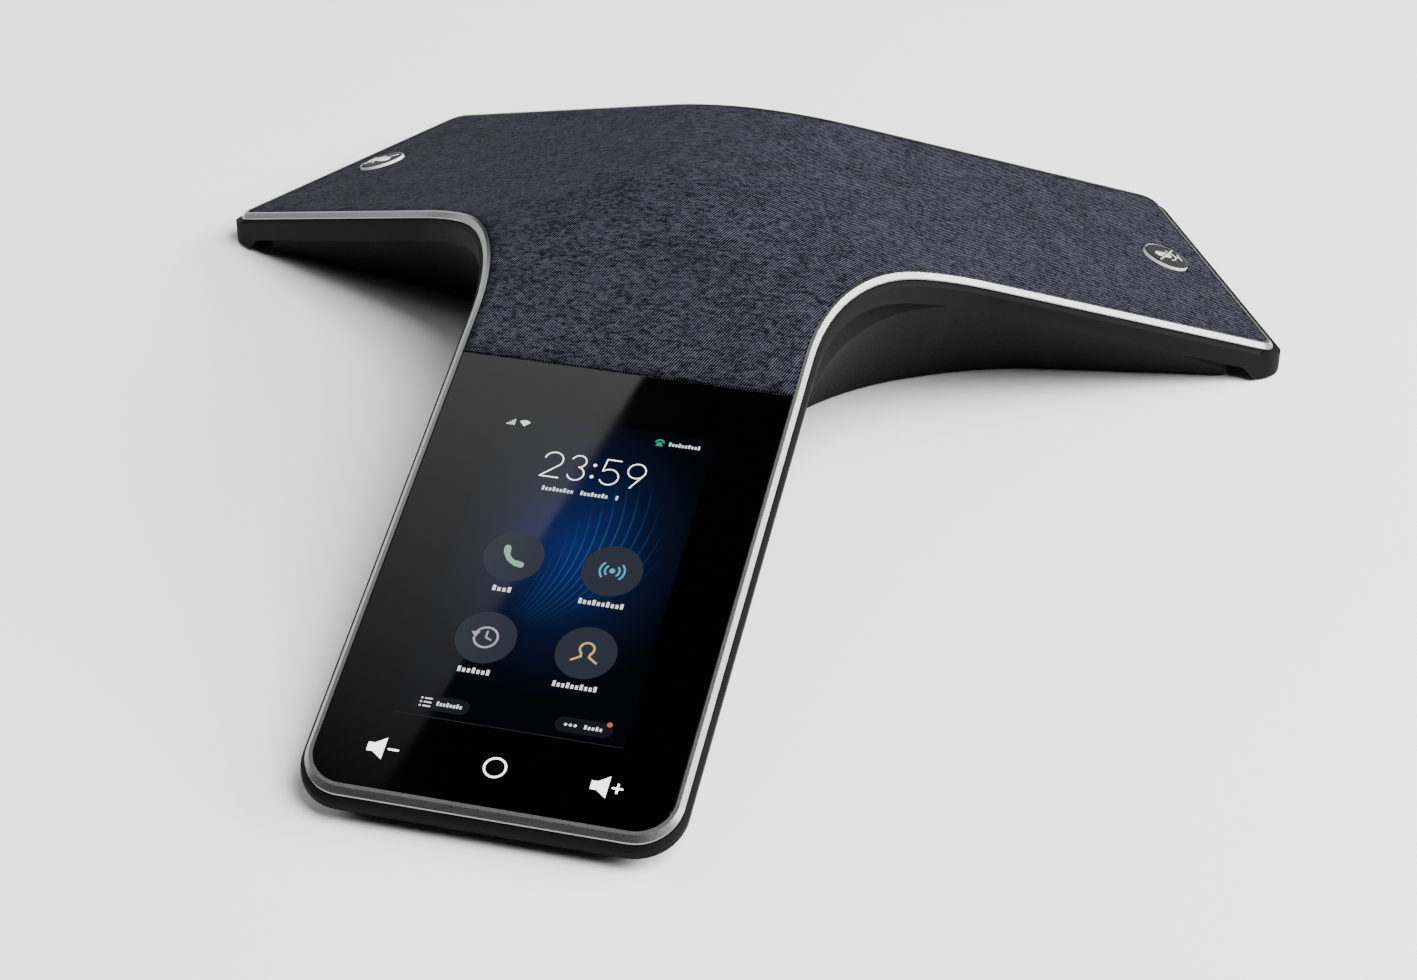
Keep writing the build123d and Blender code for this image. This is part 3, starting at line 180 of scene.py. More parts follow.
# ---- shader helpers -----------------------------------------------------------------------
class Shader:
    """A Principled material and short ways to add texture nodes to it."""

    def __init__(self, name, colour, roughness, **sockets):
        self.material = bpy.data.materials.new(name)
        self.material.use_nodes = True
        self.tree = self.material.node_tree
        self.principled = self.tree.nodes["Principled BSDF"]
        self.place = self.node("TexCoord").outputs["Object"]
        self.set("Base Color", (*colour, 1.0))
        self.set("Roughness", roughness)
        for socket, value in sockets.items():
            self.set(socket.replace("_", " "), value)

    def set(self, socket, value):
        self.principled.inputs[socket].default_value = value

    def link(self, socket, value):
        self.tree.links.new(value, self.principled.inputs[socket])

    def feed(self, made, inputs):
        """Give a node's inputs values, or links where the value is another node's output."""
        for key, value in inputs.items():
            if isinstance(value, bpy.types.NodeSocket):
                self.tree.links.new(value, made.inputs[key])
            else:
                made.inputs[key].default_value = value

    def node(self, kind, inputs=None, **settings):
        made = self.tree.nodes.new("ShaderNode" + kind)
        for key, value in settings.items():
            setattr(made, key, value)
        self.feed(made, inputs or {})
        return made

    def coordinates(self, scale=(1, 1, 1), turn=0.0):
        """Object coordinates, turned about Z and scaled."""
        turned = self.node("Mapping", {"Vector": self.place, "Rotation": (0, 0, turn)})
        return self.node("Mapping", {"Vector": turned.outputs[0], "Scale": scale}).outputs[0]

    def noise(self, scale, detail=2.0, stretch=(1, 1, 1), turn=0.0):
        """Noise with about `scale` spots to the metre."""
        inputs = {"Vector": self.coordinates(stretch, turn), "Scale": scale, "Detail": detail}
        return self.node("TexNoise", inputs).outputs["Fac"]

    def bands(self, pitch, turn, distortion):
        """Smooth parallel bands with the given pitch in metres."""
        waves_per_scale = 20 / (2 * pi)
        scale = 1 / waves_per_scale / pitch
        inputs = {"Vector": self.coordinates(turn=turn), "Scale": scale, "Distortion": distortion}
        return self.node("TexWave", inputs).outputs["Fac"]

    def math(self, operation, first, second=0.0, third=0.0):
        return self.node("Math", {0: first, 1: second, 2: third}, operation=operation).outputs[0]

    def vector_math(self, operation, first, second=(0, 0, 0)):
        return self.node("VectorMath", {0: first, 1: second}, operation=operation).outputs

    def blend(self, first, second, share):
        """Weighted sum of two values, `share` of it the second."""
        part = self.math("MULTIPLY", first, 1 - share)
        return self.math("MULTIPLY_ADD", second, share, part)

    def remap(self, value, low, high, to_low=0.0, to_high=1.0):
        inputs = {"Value": value, "From Min": low, "From Max": high, "To Min": to_low, "To Max": to_high}
        return self.node("MapRange", inputs).outputs["Result"]

    def ramp(self, value, *stops):
        """Colours along a value, each stop a position and a colour."""
        made = self.node("ValToRGB", {"Fac": value})
        elements = made.color_ramp.elements
        while len(elements) < len(stops):
            elements.new(0.5)
        for element, (position, colour) in zip(elements, stops):
            element.position = position
            element.color = (*colour, 1.0)
        return made.outputs["Color"]

    def mix(self, factor, first, second, blend="MIX"):
        """Blend of two colours; the Mix node's colour sockets have only their numbers."""
        made = self.node("Mix", data_type="RGBA", blend_type=blend)
        self.feed(made, {0: factor, 6: first, 7: second})
        return made.outputs[2]

    def bump(self, height, strength, distance):
        inputs = {"Height": height, "Strength": strength, "Distance": distance}
        self.link("Normal", self.node("Bump", inputs).outputs["Normal"])

    def worn(self, low, high):
        """0 on flats, rising to 1 on sharp outer edges."""
        return self.remap(self.node("NewGeometry").outputs["Pointiness"], low, high)


def grey(value):
    return (value, value, value)


# ---- materials ----------------------------------------------------------------------------
def cloth_material():
    """Melange acoustic cloth: a fine twill of navy, charcoal and pale heather yarns."""
    shader = Shader("melange_cloth", (0.06, 0.062, 0.09), 0.92, Specular_IOR_Level=0.05)
    twill_pitch, twill_turn = 0.00072, radians(24)
    yarn_scale, slub_scale, cloud_scale = 1700.0, 800.0, 90.0
    streak_turn = radians(86)
    twill = shader.bands(twill_pitch, twill_turn, 0.5)
    yarn = shader.noise(yarn_scale, 2.0, (1.0, 0.35, 1.0), streak_turn)
    slub = shader.noise(slub_scale, 2.0, (1.0, 0.3, 1.0), streak_turn)
    cloud = shader.noise(cloud_scale, 3.0)
    heather = shader.blend(shader.blend(yarn, slub, 0.35), cloud, 0.12)
    tone = shader.blend(heather, twill, 0.24)
    colour = shader.ramp(
        tone,
        (0.39, (0.0010, 0.0009, 0.0018)),
        (0.47, (0.0055, 0.0052, 0.0083)),
        (0.55, (0.0150, 0.0144, 0.0214)),
        (0.62, (0.0560, 0.0540, 0.0760)),
    )
    shader.link("Base Color", colour)
    shader.link("Roughness", shader.remap(heather, 0.3, 0.7, 0.98, 0.84))
    shader.bump(shader.blend(twill, heather, 0.4), 0.6, 0.0004)
    return shader.material


def blasted_metal(name, dark, light, roughness, grain_scale=3000.0):
    """Bead-blasted metal: a fine sparkle, faint clouding and brighter worn edges."""
    shader = Shader(name, light, roughness, Metallic=1.0)
    grain = shader.noise(grain_scale, 2.0)
    broad = shader.noise(45.0, 3.0)
    colour = shader.ramp(shader.blend(grain, broad, 0.25), (0.32, dark), (0.68, light))
    bright = [min(1.0, 1.15 * value) for value in light]
    shader.link("Base Color", shader.mix(shader.worn(0.52, 0.62), colour, (*bright, 1)))
    shader.link("Roughness", shader.remap(grain, 0.3, 0.7, roughness - 0.07, roughness + 0.1))
    shader.bump(grain, 0.05, 0.00005)
    return shader.material


def ring_material():
    """White satin wall under a dark printed top face."""
    shader = Shader("bright_ring", grey(0.9), 0.3)
    grain = shader.noise(2500.0, 2.0)
    normal = shader.node("NewGeometry").outputs["Normal"]
    upward = shader.node("SeparateXYZ", {0: normal}).outputs["Z"]
    top = shader.remap(upward, 0.80, 0.88)
    wall = shader.ramp(grain, (0.3, grey(0.80)), (0.7, grey(0.95)))
    shader.link("Base Color", shader.mix(top, wall, (*grey(0.013), 1)))
    shader.link("Roughness", shader.remap(shader.blend(grain, top, 0.8), 0, 1, 0.25, 0.5))
    return shader.material


def textured_plastic(name, dark, light, roughness, grain_scale=1500.0, bump=0.35, specular=0.4):
    """Moulded plastic: spark-eroded grain, faint clouding and slightly polished edges."""
    shader = Shader(name, light, roughness, Specular_IOR_Level=specular)
    grain = shader.noise(grain_scale, 3.0)
    broad = shader.noise(35.0, 2.0)
    colour = shader.ramp(shader.blend(grain, broad, 0.3), (0.3, dark), (0.7, light))
    edge = [1.6 * value for value in light]
    shader.link("Base Color", shader.mix(shader.worn(0.53, 0.65), colour, (*edge, 1)))
    shader.link("Roughness", shader.remap(grain, 0.3, 0.7, roughness - 0.08, roughness + 0.1))
    shader.bump(grain, bump, 0.00015)
    return shader.material


def key_plastic(name):
    """Satin plastic of the mute keys."""
    return textured_plastic(name, (0.010, 0.010, 0.0098), (0.016, 0.016, 0.0157), 0.5, 2600.0, 0.2, 0.1)


def glass_material():
    """Black-backed cover glass with the lit wallpaper of the display showing through it."""
    shader = Shader("cover_glass", (0.0002, 0.0002, 0.0003), 0.035, Specular_IOR_Level=0.5)
    smudge = shader.noise(55.0, 4.0, (1.0, 0.6, 1.0), radians(25))
    shader.link("Roughness", shader.remap(smudge, 0.35, 0.75, 0.02, 0.06))
    x, y = picture_coordinates(shader)
    inside_x = shader.math("LESS_THAN", shader.math("ABSOLUTE", x), PICTURE_WIDTH / 2)
    inside_y = shader.math("LESS_THAN", shader.math("ABSOLUTE", y), PICTURE_LENGTH / 2)
    inside = shader.math("MULTIPLY", inside_x, inside_y)
    spot = shader.node("CombineXYZ", {0: x, 1: y}).outputs[0]
    shader.link("Emission Color", shader.mix(inside, (0, 0, 0, 1), wallpaper(shader, spot)))
    shader.set("Emission Strength", 1.0)
    return shader.material


def picture_coordinates(shader):
    """Millimetres right of and up from the picture's middle."""
    to_picture = picture_matrix(0).inverted()
    split = shader.node("SeparateXYZ", {0: shader.place}).outputs
    x = shader.math("MULTIPLY_ADD", split["X"], 1 / MM, to_picture[0][3])
    from_y = shader.math("MULTIPLY_ADD", split["Y"], to_picture[1][1], to_picture[1][3])
    y = shader.math("MULTIPLY_ADD", split["Z"], to_picture[1][2], from_y)
    return x, y


def wallpaper(shader, spot):
    """Deep blue glow with fine lines that sweep out of it, dark towards the picture's edges."""
    glow_centre, glow_squeeze, glow_reach = (1.7, 8.0, 0.0), (1.0, 0.72, 0.0), 36.0
    from_glow = shader.vector_math("SUBTRACT", spot, glow_centre)[0]
    squeezed = shader.vector_math("MULTIPLY", from_glow, glow_squeeze)[0]
    distance = shader.vector_math("LENGTH", squeezed)["Value"]
    glow = shader.ramp(
        shader.math("DIVIDE", distance, glow_reach),
        (0.0, (0.009, 0.024, 0.14)),
        (0.28, (0.007, 0.015, 0.080)),
        (0.55, (0.003, 0.007, 0.030)),
        (0.85, (0.0012, 0.0022, 0.008)),
        (1.0, (0.0006, 0.0008, 0.002)),
    )
    fan_root, line_count, line_sweep, line_sharpness = (-16.0, -26.0, 0.0), 96.0, -0.0115, 9.0
    from_root = shader.vector_math("SUBTRACT", spot, fan_root)[0]
    parts = shader.node("SeparateXYZ", {0: from_root}).outputs
    angle = shader.math("ARCTAN2", parts[1], parts[0])
    reach = shader.vector_math("LENGTH", from_root)["Value"]
    swept = shader.math("MULTIPLY_ADD", reach, line_sweep, angle)
    waves = shader.math("SINE", shader.math("MULTIPLY", swept, line_count))
    lines = shader.math("POWER", shader.math("MAXIMUM", waves, 0.0), line_sharpness)
    fan = shader.math("MULTIPLY", shader.remap(angle, 0.50, 0.72), shader.remap(angle, 1.22, 1.0))
    near = shader.remap(distance, 24.0, 6.0)
    strength = shader.math("MULTIPLY", shader.math("MULTIPLY", lines, fan), near)
    return shader.mix(strength, glow, (0.006, 0.085, 0.21, 1), "ADD")


def lit_mark(name, colour, strength=1.0):
    """Lit graphic under gloss, with faint pixel shading."""
    shader = Shader(name, grey(0.002), 0.1, Specular_IOR_Level=0.3)
    pixels = shader.noise(9000.0, 1.0)
    dim = [0.92 * value for value in colour]
    shader.link("Emission Color", shader.ramp(pixels, (0.35, dim), (0.65, colour)))
    shader.set("Emission Strength", strength)
    return shader.material


def circuit_board_material():
    """Solder mask over copper, with the traces showing as faint raised lines."""
    dark, light = (0.004, 0.030, 0.014), (0.010, 0.075, 0.034)
    shader = Shader("solder_mask", light, 0.35, Coat_Weight=0.3)
    inputs = {"Vector": shader.coordinates(), "Scale": 420.0}
    cells = shader.node("TexVoronoi", inputs, feature="DISTANCE_TO_EDGE").outputs["Distance"]
    shader.link("Base Color", shader.ramp(cells, (0.05, light), (0.14, dark)))
    shader.bump(cells, 0.3, 0.0001)
    return shader.material


def pulp_material(name, dark, light):
    """Pressed fibre with a felted surface."""
    shader = Shader(name, light, 0.95)
    fibres = shader.noise(2200.0, 4.0, (1.0, 0.25, 1.0), radians(35))
    crossing = shader.noise(2200.0, 4.0, (0.25, 1.0, 1.0), radians(20))
    felt = shader.blend(fibres, crossing, 0.5)
    shader.link("Base Color", shader.ramp(felt, (0.35, dark), (0.65, light)))
    shader.bump(felt, 0.6, 0.0003)
    return shader.material


def floor_material():
    """Pale matt paper with faint clouding."""
    shader = Shader("pale_floor", grey(0.9), 0.8, Specular_IOR_Level=0.05)
    shader.link("Base Color", shader.ramp(shader.noise(3.0), (0.3, grey(0.89)), (0.7, grey(0.91))))
    return shader.material


def assign(material, *names):
    for name in names:
        mesh = NODES[name].data
        mesh.materials.clear()
        mesh.materials.append(material)


def both(name):
    return [f"{word}_{name}" for word in ("left", "right")]


def dress_outside():
    """Materials of the outer nodes that stay from the CAD model."""
    silver = blasted_metal("blasted_silver", (0.19, 0.19, 0.193), (0.24, 0.24, 0.244), 0.33)
    assign(silver, "trim_frame")
    housing_dark, housing_light = (0.0025, 0.0025, 0.0026), (0.0062, 0.0062, 0.0064)
    housing = textured_plastic("housing_plastic", housing_dark, housing_light, 0.6, specular=0.04)
    assign(housing, "upper_housing")
    base_dark, base_light = (0.002, 0.002, 0.0021), (0.0048, 0.0048, 0.005)
    base = textured_plastic("base_plastic", base_dark, base_light, 0.65, specular=0.05)
    assign(base, "lower_housing", "port_panel")
    assign(glass_material(), "touch_glass")
    rubber = textured_plastic("foot_rubber", grey(0.006), grey(0.014), 0.85, 700.0, 0.5, 0.2)
    assign(rubber, "front_pad", "rear_pad", "speaker_surround", *both("tip_pad"), *both("mic_boot"))
    assign(key_plastic("key_plastic"), *both("mute_key"))
    assign(ring_material(), *both("key_ring"))


def dress_inside():
    """Materials of the inner nodes, the sockets and the fasteners."""
    inner = textured_plastic("inner_plastic", (0.010, 0.010, 0.011), (0.022, 0.022, 0.024), 0.6, 900.0)
    assign(inner, "grille_carrier", "speaker_box")
    foam = textured_plastic("black_foam", grey(0.008), grey(0.03), 0.95, 1100.0, 0.9, 0.1)
    assign(foam, "display_gasket", "speaker_gasket")
    steel = blasted_metal("pressed_steel", (0.34, 0.34, 0.35), (0.55, 0.55, 0.56), 0.3, 1400.0)
    assign(steel, "display_bracket", "speaker_basket", "magnet_yoke", "magnet_top_plate")
    assign(steel, "mic_capsules", "shield_can", "usb_a_jack", "usb_c_jack")
    assign(steel, "housing_screws", "board_screws", "speaker_screws")
    boards = ["main_board", "display_board", *both("key_board"), *both("mic_board"), *both("antenna")]
    assign(circuit_board_material(), *boards)
    chip = textured_plastic("chip_resin", grey(0.008), grey(0.02), 0.5, 2500.0)
    assign(chip, "processor", "board_connectors", "ethernet_jack", "audio_jack", *both("key_switch"))
    gold = blasted_metal("gold_contact", (0.55, 0.32, 0.10), (0.80, 0.52, 0.20), 0.28)
    assign(gold, "ethernet_contacts")
    coil = blasted_metal("coil_wire", (0.36, 0.14, 0.06), (0.58, 0.25, 0.12), 0.35, 5000.0)
    assign(coil, "voice_coil")
    flex = textured_plastic("flat_cable", (0.16, 0.07, 0.01), (0.28, 0.13, 0.02), 0.3, 600.0)
    assign(flex, "display_cable")
    panel = textured_plastic("panel_back", (0.05, 0.05, 0.06), (0.11, 0.11, 0.12), 0.4, 500.0)
    assign(panel, "display_panel")
    ferrite = textured_plastic("ferrite", (0.012, 0.012, 0.014), (0.04, 0.04, 0.045), 0.7, 800.0)
    assign(ferrite, "magnet_ring")
    assign(pulp_material("cone_paper", grey(0.008), grey(0.03)), "speaker_cone", "dust_cap")
    assign(pulp_material("spider_cloth", (0.10, 0.06, 0.02), (0.22, 0.14, 0.06)), "speaker_spider")


# ---- camera, floor and lights -------------------------------------------------------------
def make_camera():
    data = bpy.data.cameras.new("photo_camera")
    data.lens = CAMERA_LENS
    data.sensor_width = CAMERA_SENSOR
    data.clip_start = CAMERA_NEAR
    camera = show("photo_camera", data)
    turn = Matrix.Rotation(CAMERA_AZIMUTH, 4, "Z")
    tilt = Matrix.Rotation(pi / 2 - CAMERA_ELEVATION, 4, "X")
    roll = Matrix.Rotation(CAMERA_ROLL, 4, "Z")
    camera.matrix_world = Matrix.Translation(GLASS_MIDDLE + CAMERA_FROM_GLASS) @ turn @ tilt @ roll
    bpy.context.scene.camera = camera
    return camera


def make_floor():
    bpy.ops.mesh.primitive_plane_add(size=FLOOR_SIZE, location=(0, 0, 0))
    floor = bpy.context.object
    floor.name = "floor"
    floor.data.materials.append(floor_material())


def soft_box(name, width, height, radiance, matrix):
    """Rectangular soft box that shines along its matrix's -Z."""
    data = bpy.data.lights.new(name, "AREA")
    data.shape = "RECTANGLE"
    data.size = width
    data.size_y = height
    data.energy = radiance * pi * width * height
    lamp = show(name, data)
    lamp.matrix_world = matrix
    return lamp


def make_soft_boxes():
    target = glass_place(0, AIM_UP_GLASS)
    for name, place, width, height, radiance in SOFT_BOXES:
        back = (Vector(place) - target).normalized()
        facing = back.to_track_quat("Z", "Y").to_matrix().to_4x4()
        soft_box(name, width, height, radiance, Matrix.Translation(place) @ facing)


def mirrored_place(camera, right, up):
    """Point that the camera sees in the glass, GLARE_DISTANCE away from it."""
    spot = glass_place(right, up)
    ray = (spot - camera.matrix_world.translation).normalized()
    mirrored = ray - LEG_OUT * 2 * ray.dot(LEG_OUT)
    return spot + mirrored * GLARE_DISTANCE


def make_glare_box(camera):
    """Soft box whose reflection in the glass ends on a slanting line across the display."""
    top = mirrored_place(camera, GLARE_EDGE_TOP, GLASS_LENGTH / 2)
    bottom = mirrored_place(camera, GLARE_EDGE_BOTTOM, -GLASS_LENGTH / 2)
    inside = mirrored_place(camera, GLARE_INSIDE, 0)
    edge = (top - bottom).normalized()
    across = ((inside - bottom) - edge * (inside - bottom).dot(edge)).normalized()
    length = (top - bottom).length + 2 * GLARE_OVERLAP
    centre = (top + bottom) / 2 + across * GLARE_WIDTH / 2 + edge * GLARE_OVERLAP / 2
    facing = across.cross(edge)
    back = facing if facing.dot(centre - glass_place(0, 0)) > 0 else -facing
    matrix = axes_at(centre, edge.cross(back), edge, back)
    fade_light(soft_box("glare_box", GLARE_WIDTH, length, GLARE_RADIANCE, matrix))


def fade_light(lamp):
    """Let a soft box fall off towards its lower end."""
    lamp.data.use_nodes = True
    tree = lamp.data.node_tree
    place = tree.nodes.new("ShaderNodeNewGeometry")
    split = tree.nodes.new("ShaderNodeSeparateXYZ")
    fade = tree.nodes.new("ShaderNodeMapRange")
    tree.links.new(place.outputs["Parametric"], split.inputs[0])
    tree.links.new(split.outputs["Y"], fade.inputs["Value"])
    for socket, value in GLARE_FADE.items():
        fade.inputs[socket].default_value = value
    tree.links.new(fade.outputs["Result"], tree.nodes["Emission"].inputs["Strength"])


def make_world():
    world = bpy.data.worlds.new("studio")
    bpy.context.scene.world = world
    world.use_nodes = True
    background = world.node_tree.nodes["Background"]
    background.inputs["Color"].default_value = (1, 1, 1, 1)
    background.inputs["Strength"].default_value = WORLD_STRENGTH


# ---- cloth --------------------------------------------------------------------------------
def roll_edges(mesh):
    """Add narrow bands along the sheet's edges, lower towards the rim."""
    for width, drop in CLOTH_EDGE:
        rim = [vertex for vertex in mesh.verts if vertex.is_boundary]
        options = {"thickness": width, "use_even_offset": False, "use_boundary": True}
        bmesh.ops.inset_region(mesh, faces=mesh.faces[:], **options)
        for vertex in rim:
            vertex.co.z -= drop


def cut_to_grid(mesh, low, high):
    """Cut the mesh along regular planes in X and Y."""
    for axis, normal in enumerate((Vector((1.0, 0.0, 0.0)), Vector((0.0, 1.0, 0.0)))):
        place = low[axis] + CLOTH_GRID
        while place < high[axis]:
            everything = mesh.verts[:] + mesh.edges[:] + mesh.faces[:]
            bmesh.ops.bisect_plane(mesh, geom=everything, plane_co=normal * place, plane_no=normal)
            place += CLOTH_GRID


def thicken(mesh):
    """Close the sheet with a copy of itself below it."""
    copied = bmesh.ops.extrude_face_region(mesh, geom=mesh.faces[:], use_keep_orig=True)["geom"]
    for part in copied:
        if isinstance(part, bmesh.types.BMVert):
            part.co.z -= CLOTH_THICKNESS
    bmesh.ops.recalc_face_normals(mesh, faces=mesh.faces[:])


def make_cloth():
    """The cloth as one stretched sheet, rolled down where it tucks in along its edges."""
    low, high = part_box("acoustic_cloth")
    mesh = bmesh.new()
    mesh.from_mesh(NODES["acoustic_cloth"].data)
    under = [face for face in mesh.faces if face.normal.z < UPPER_FACE]
    bmesh.ops.delete(mesh, geom=under, context="FACES")
    bmesh.ops.remove_doubles(mesh, verts=mesh.verts, dist=SAME_PLACE)
    roll_edges(mesh)
    cut_to_grid(mesh, low, high)
    area = sum(face.calc_area() for face in mesh.faces)
    thicken(mesh)
    for face in mesh.faces:
        face.smooth = True
    data = bpy.data.meshes.new("speaker_cloth")
    mesh.to_mesh(data)
    mesh.free()
    cloth = show("speaker_cloth", data)
    data.materials.append(cloth_material())
    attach(cloth, "housing")
    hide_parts("acoustic_cloth")


# ---- flat graphics: strokes and filled shapes ---------------------------------------------
def arc_points(centre, radius, start, end, steps=20):
    """Points on an arc, angles in degrees."""
    angles = [radians(start + (end - start) * i / steps) for i in range(steps + 1)]
    return [(centre[0] + radius * cos(angle), centre[1] + radius * sin(angle)) for angle in angles]


def plate(mesh, corners, height=THICK):
    """Thin plate with the given outline."""
    bottom = [mesh.verts.new((x, y, 0)) for x, y in corners]
    top = [mesh.verts.new((x, y, height)) for x, y in corners]
    mesh.faces.new(top)
    mesh.faces.new(bottom[::-1])
    for i in range(len(corners)):
        j = (i + 1) % len(corners)
        mesh.faces.new((bottom[i], bottom[j], top[j], top[i]))


def bar(mesh, left, right, bottom, top, height=THICK):
    """Thin rectangular plate."""
    plate(mesh, [(left, bottom), (right, bottom), (right, top), (left, top)], height)


def disc(mesh, centre, radius, height=THICK, corners=40):
    last_angle = 360 * (corners - 1) / corners
    plate(mesh, arc_points(centre, radius, 0, last_angle, corners - 1), height)


def pill(mesh, left, right, bottom, top, height=THICK):
    """Thin plate with round ends."""
    radius = (top - bottom) / 2
    middle = (top + bottom) / 2
    outline = arc_points((left + radius, middle), radius, 90, 270, 16)
    outline += arc_points((right - radius, middle), radius, -90, 90, 16)
    plate(mesh, outline, height)


def stroke(mesh, points, width, height=THICK):
    """Flat rounded line through the points: a plate along every run and a disc at every point."""
    for first, last in zip(points, points[1:]):
        run = Vector(last) - Vector(first)
        if run.length > 0:
            side = Vector((-run.y, run.x)).normalized() * width / 2
            near = [Vector(first) + side, Vector(first) - side]
            far = [Vector(last) - side, Vector(last) + side]
            plate(mesh, near + far, height)
    for point in points:
        disc(mesh, point, width / 2, height, 12)


def dashes(mesh, left, right, bottom, height):
    """A row of short dashes in place of a word."""
    pitch_share, dash_share, tall_share, short_share = 0.95, 0.62, 1.25, 0.9
    count = max(1, round((right - left) / (pitch_share * height)))
    step = (right - left) / count
    for i in range(count):
        start = left + i * step
        top = bottom + height * (tall_share if i % 3 == 0 else short_share)
        bar(mesh, start, start + dash_share * step, bottom, top)


def graphic(name, draw, matrix, material, body):
    """One piece from the flat shapes that `draw` adds, laid on a face of the object."""
    mesh = bmesh.new()
    draw(mesh)
    bmesh.ops.recalc_face_normals(mesh, faces=mesh.faces[:])
    data = bpy.data.meshes.new(name)
    mesh.to_mesh(data)
    mesh.free()
    data.transform(matrix)
    piece = show(name, data)
    data.materials.append(material)
    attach(piece, body)


# ---- the display's graphics ---------------------------------------------------------------
def draw_clock(mesh):
    """The time 23:59 in thin strokes."""
    w, h = DIGIT_WIDTH, DIGIT_HEIGHT
    two = arc_points((w / 2, h - w / 2), w / 2, 170, -35, 18) + [(0, 0), (w, 0)]
    upper = arc_points((w / 2, 0.76 * h), 0.24 * h, 160, -70, 14)
    lower = arc_points((w / 2, 0.27 * h), 0.27 * h, 80, -160, 16)
    five_bow = arc_points((0.47 * w, 0.31 * h), 0.31 * h, 120, -150, 18)
    five = [(0.9 * w, h), (0.14 * w, h), (0.05 * w, 0.52 * h)] + five_bow
    nine = arc_points((w / 2, 0.69 * h), 0.48 * w, -10, 350, 24) + [(0.97 * w, 0.6 * h), (0.36 * w, 0)]
    for left, shape in zip(DIGIT_LEFTS, (two, upper + lower, five, nine)):
        stroke(mesh, [(left + x, DIGIT_BASE + y) for x, y in shape], DIGIT_LINE)
    for rise in COLON_RISES:
        disc(mesh, (COLON_X, DIGIT_BASE + rise), COLON_RADIUS)


def draw_status(mesh):
    """Four signal bars and a radio fan."""
    first_left, pitch, width = -28.6, 0.62, 0.42
    bottom, shortest_top, growth = STATUS_BASE + 0.1, STATUS_BASE + 0.6, 0.5
    for step in range(4):
        left = first_left + pitch * step
        bar(mesh, left, left + width, bottom, shortest_top + growth * step)
    fan_root = (-23.5, STATUS_BASE)
    plate(mesh, [fan_root] + arc_points(fan_root, 2.2, 45, 135, 12))


def draw_line_icon(mesh):
    """Small desk phone of the status line."""
    stroke(mesh, arc_points((15.6, 47.9), 1.2, 20, 160, 8), 0.55)
    plate(mesh, [(14.6, 46.9), (16.6, 46.9), (16.2, 48.3), (15.0, 48.3)])


def draw_word_dashes(mesh):
    """Rows of dashes where the display writes words."""
    for left, right in DATE_WORDS:
        dashes(mesh, left, right, DATE_BASE, DATE_HEIGHT)
    dashes(mesh, *NUMBER_WORD, NUMBER_BASE, SMALL_WORD_HEIGHT)
    for name, (x, y) in DISC_SPOTS.items():
        half = LABEL_HALVES[name]
        dashes(mesh, x - half, x + half, y - LABEL_DROP[name], LABEL_HEIGHT)
    for left, right in SOFT_KEY_WORDS:
        dashes(mesh, left, right, SOFT_KEY_WORD_BASE, SMALL_WORD_HEIGHT)


def draw_soft_key_marks(mesh):
    """List lines on the left soft key, three dots on the right one."""
    middle, spacing, half_line = -46.9, 1.2, 0.2
    for row in (middle + spacing, middle, middle - spacing):
        disc(mesh, (-24.9, row), 0.28)
        pill(mesh, -24.2, -22.0, row - half_line, row + half_line)
    for column in (14.4, 15.7, 17.0):
        disc(mesh, (column, middle), 0.42)


def draw_discs(mesh):
    for spot in DISC_SPOTS.values():
        disc(mesh, spot, DISC_RADIUS, FLAT, 64)


def draw_soft_keys(mesh):
    for left, right in SOFT_KEYS:
        pill(mesh, left, right, SOFT_KEY_BOTTOM, SOFT_KEY_TOP, FLAT)


def draw_edge_line(mesh):
    bar(mesh, -EDGE_LINE_HALF, EDGE_LINE_HALF, EDGE_LINE_BOTTOM, EDGE_LINE_TOP, FLAT)


def draw_handset(mesh):
    """Receiver drawn as a curved bar with two thick ends."""
    x, y = DISC_SPOTS["call"]
    bow = arc_points((x + 2.3, y + 2.3), 4.6, 186, 264, 14)
    stroke(mesh, bow, 1.5)
    for end, turn in ((bow[0], 100), (bow[-1], 170)):
        direction = Vector((cos(radians(turn)), sin(radians(turn)))) * 0.75
        stroke(mesh, [Vector(end) - direction, Vector(end) + direction], 1.9)


def draw_waves(mesh):
    """Wireless: a dot with arcs to both sides."""
    spot = DISC_SPOTS["wireless"]
    disc(mesh, spot, 0.8)
    for radius in (2.0, 3.4):
        for middle in (0, 180):
            stroke(mesh, arc_points(spot, radius, middle - 42, middle + 42, 12), 0.55)


def draw_recent(mesh):
    """Clock face open at one side, with an arrow head and two hands."""
    x, y = DISC_SPOTS["recent"]
    ring = arc_points((x, y), 3.2, 165, -170, 30)
    stroke(mesh, ring, 0.6)
    stroke(mesh, [(x, y + 1.9), (x, y), (x + 1.5, y - 0.6)], 0.5)
    head = ((-1.2, 0.5), (0.2, -1.3), (1.1, 0.7))
    plate(mesh, [Vector(ring[0]) + Vector(corner) for corner in head])


def draw_contact(mesh):
    """Head and shoulders in outline."""
    x, y = DISC_SPOTS["contact"]
    stroke(mesh, arc_points((x, y + 1.2), 1.95, -50, 230, 24), 0.6)
    for side in (-1, 1):
        shoulder = ((1.25, -0.35), (1.1, -1.3), (3.4, -2.8))
        stroke(mesh, [(x + side * right, y + up) for right, up in shoulder], 0.6)


def draw_alert(mesh):
    disc(mesh, ALERT, ALERT_RADIUS, ALERT_THICK)


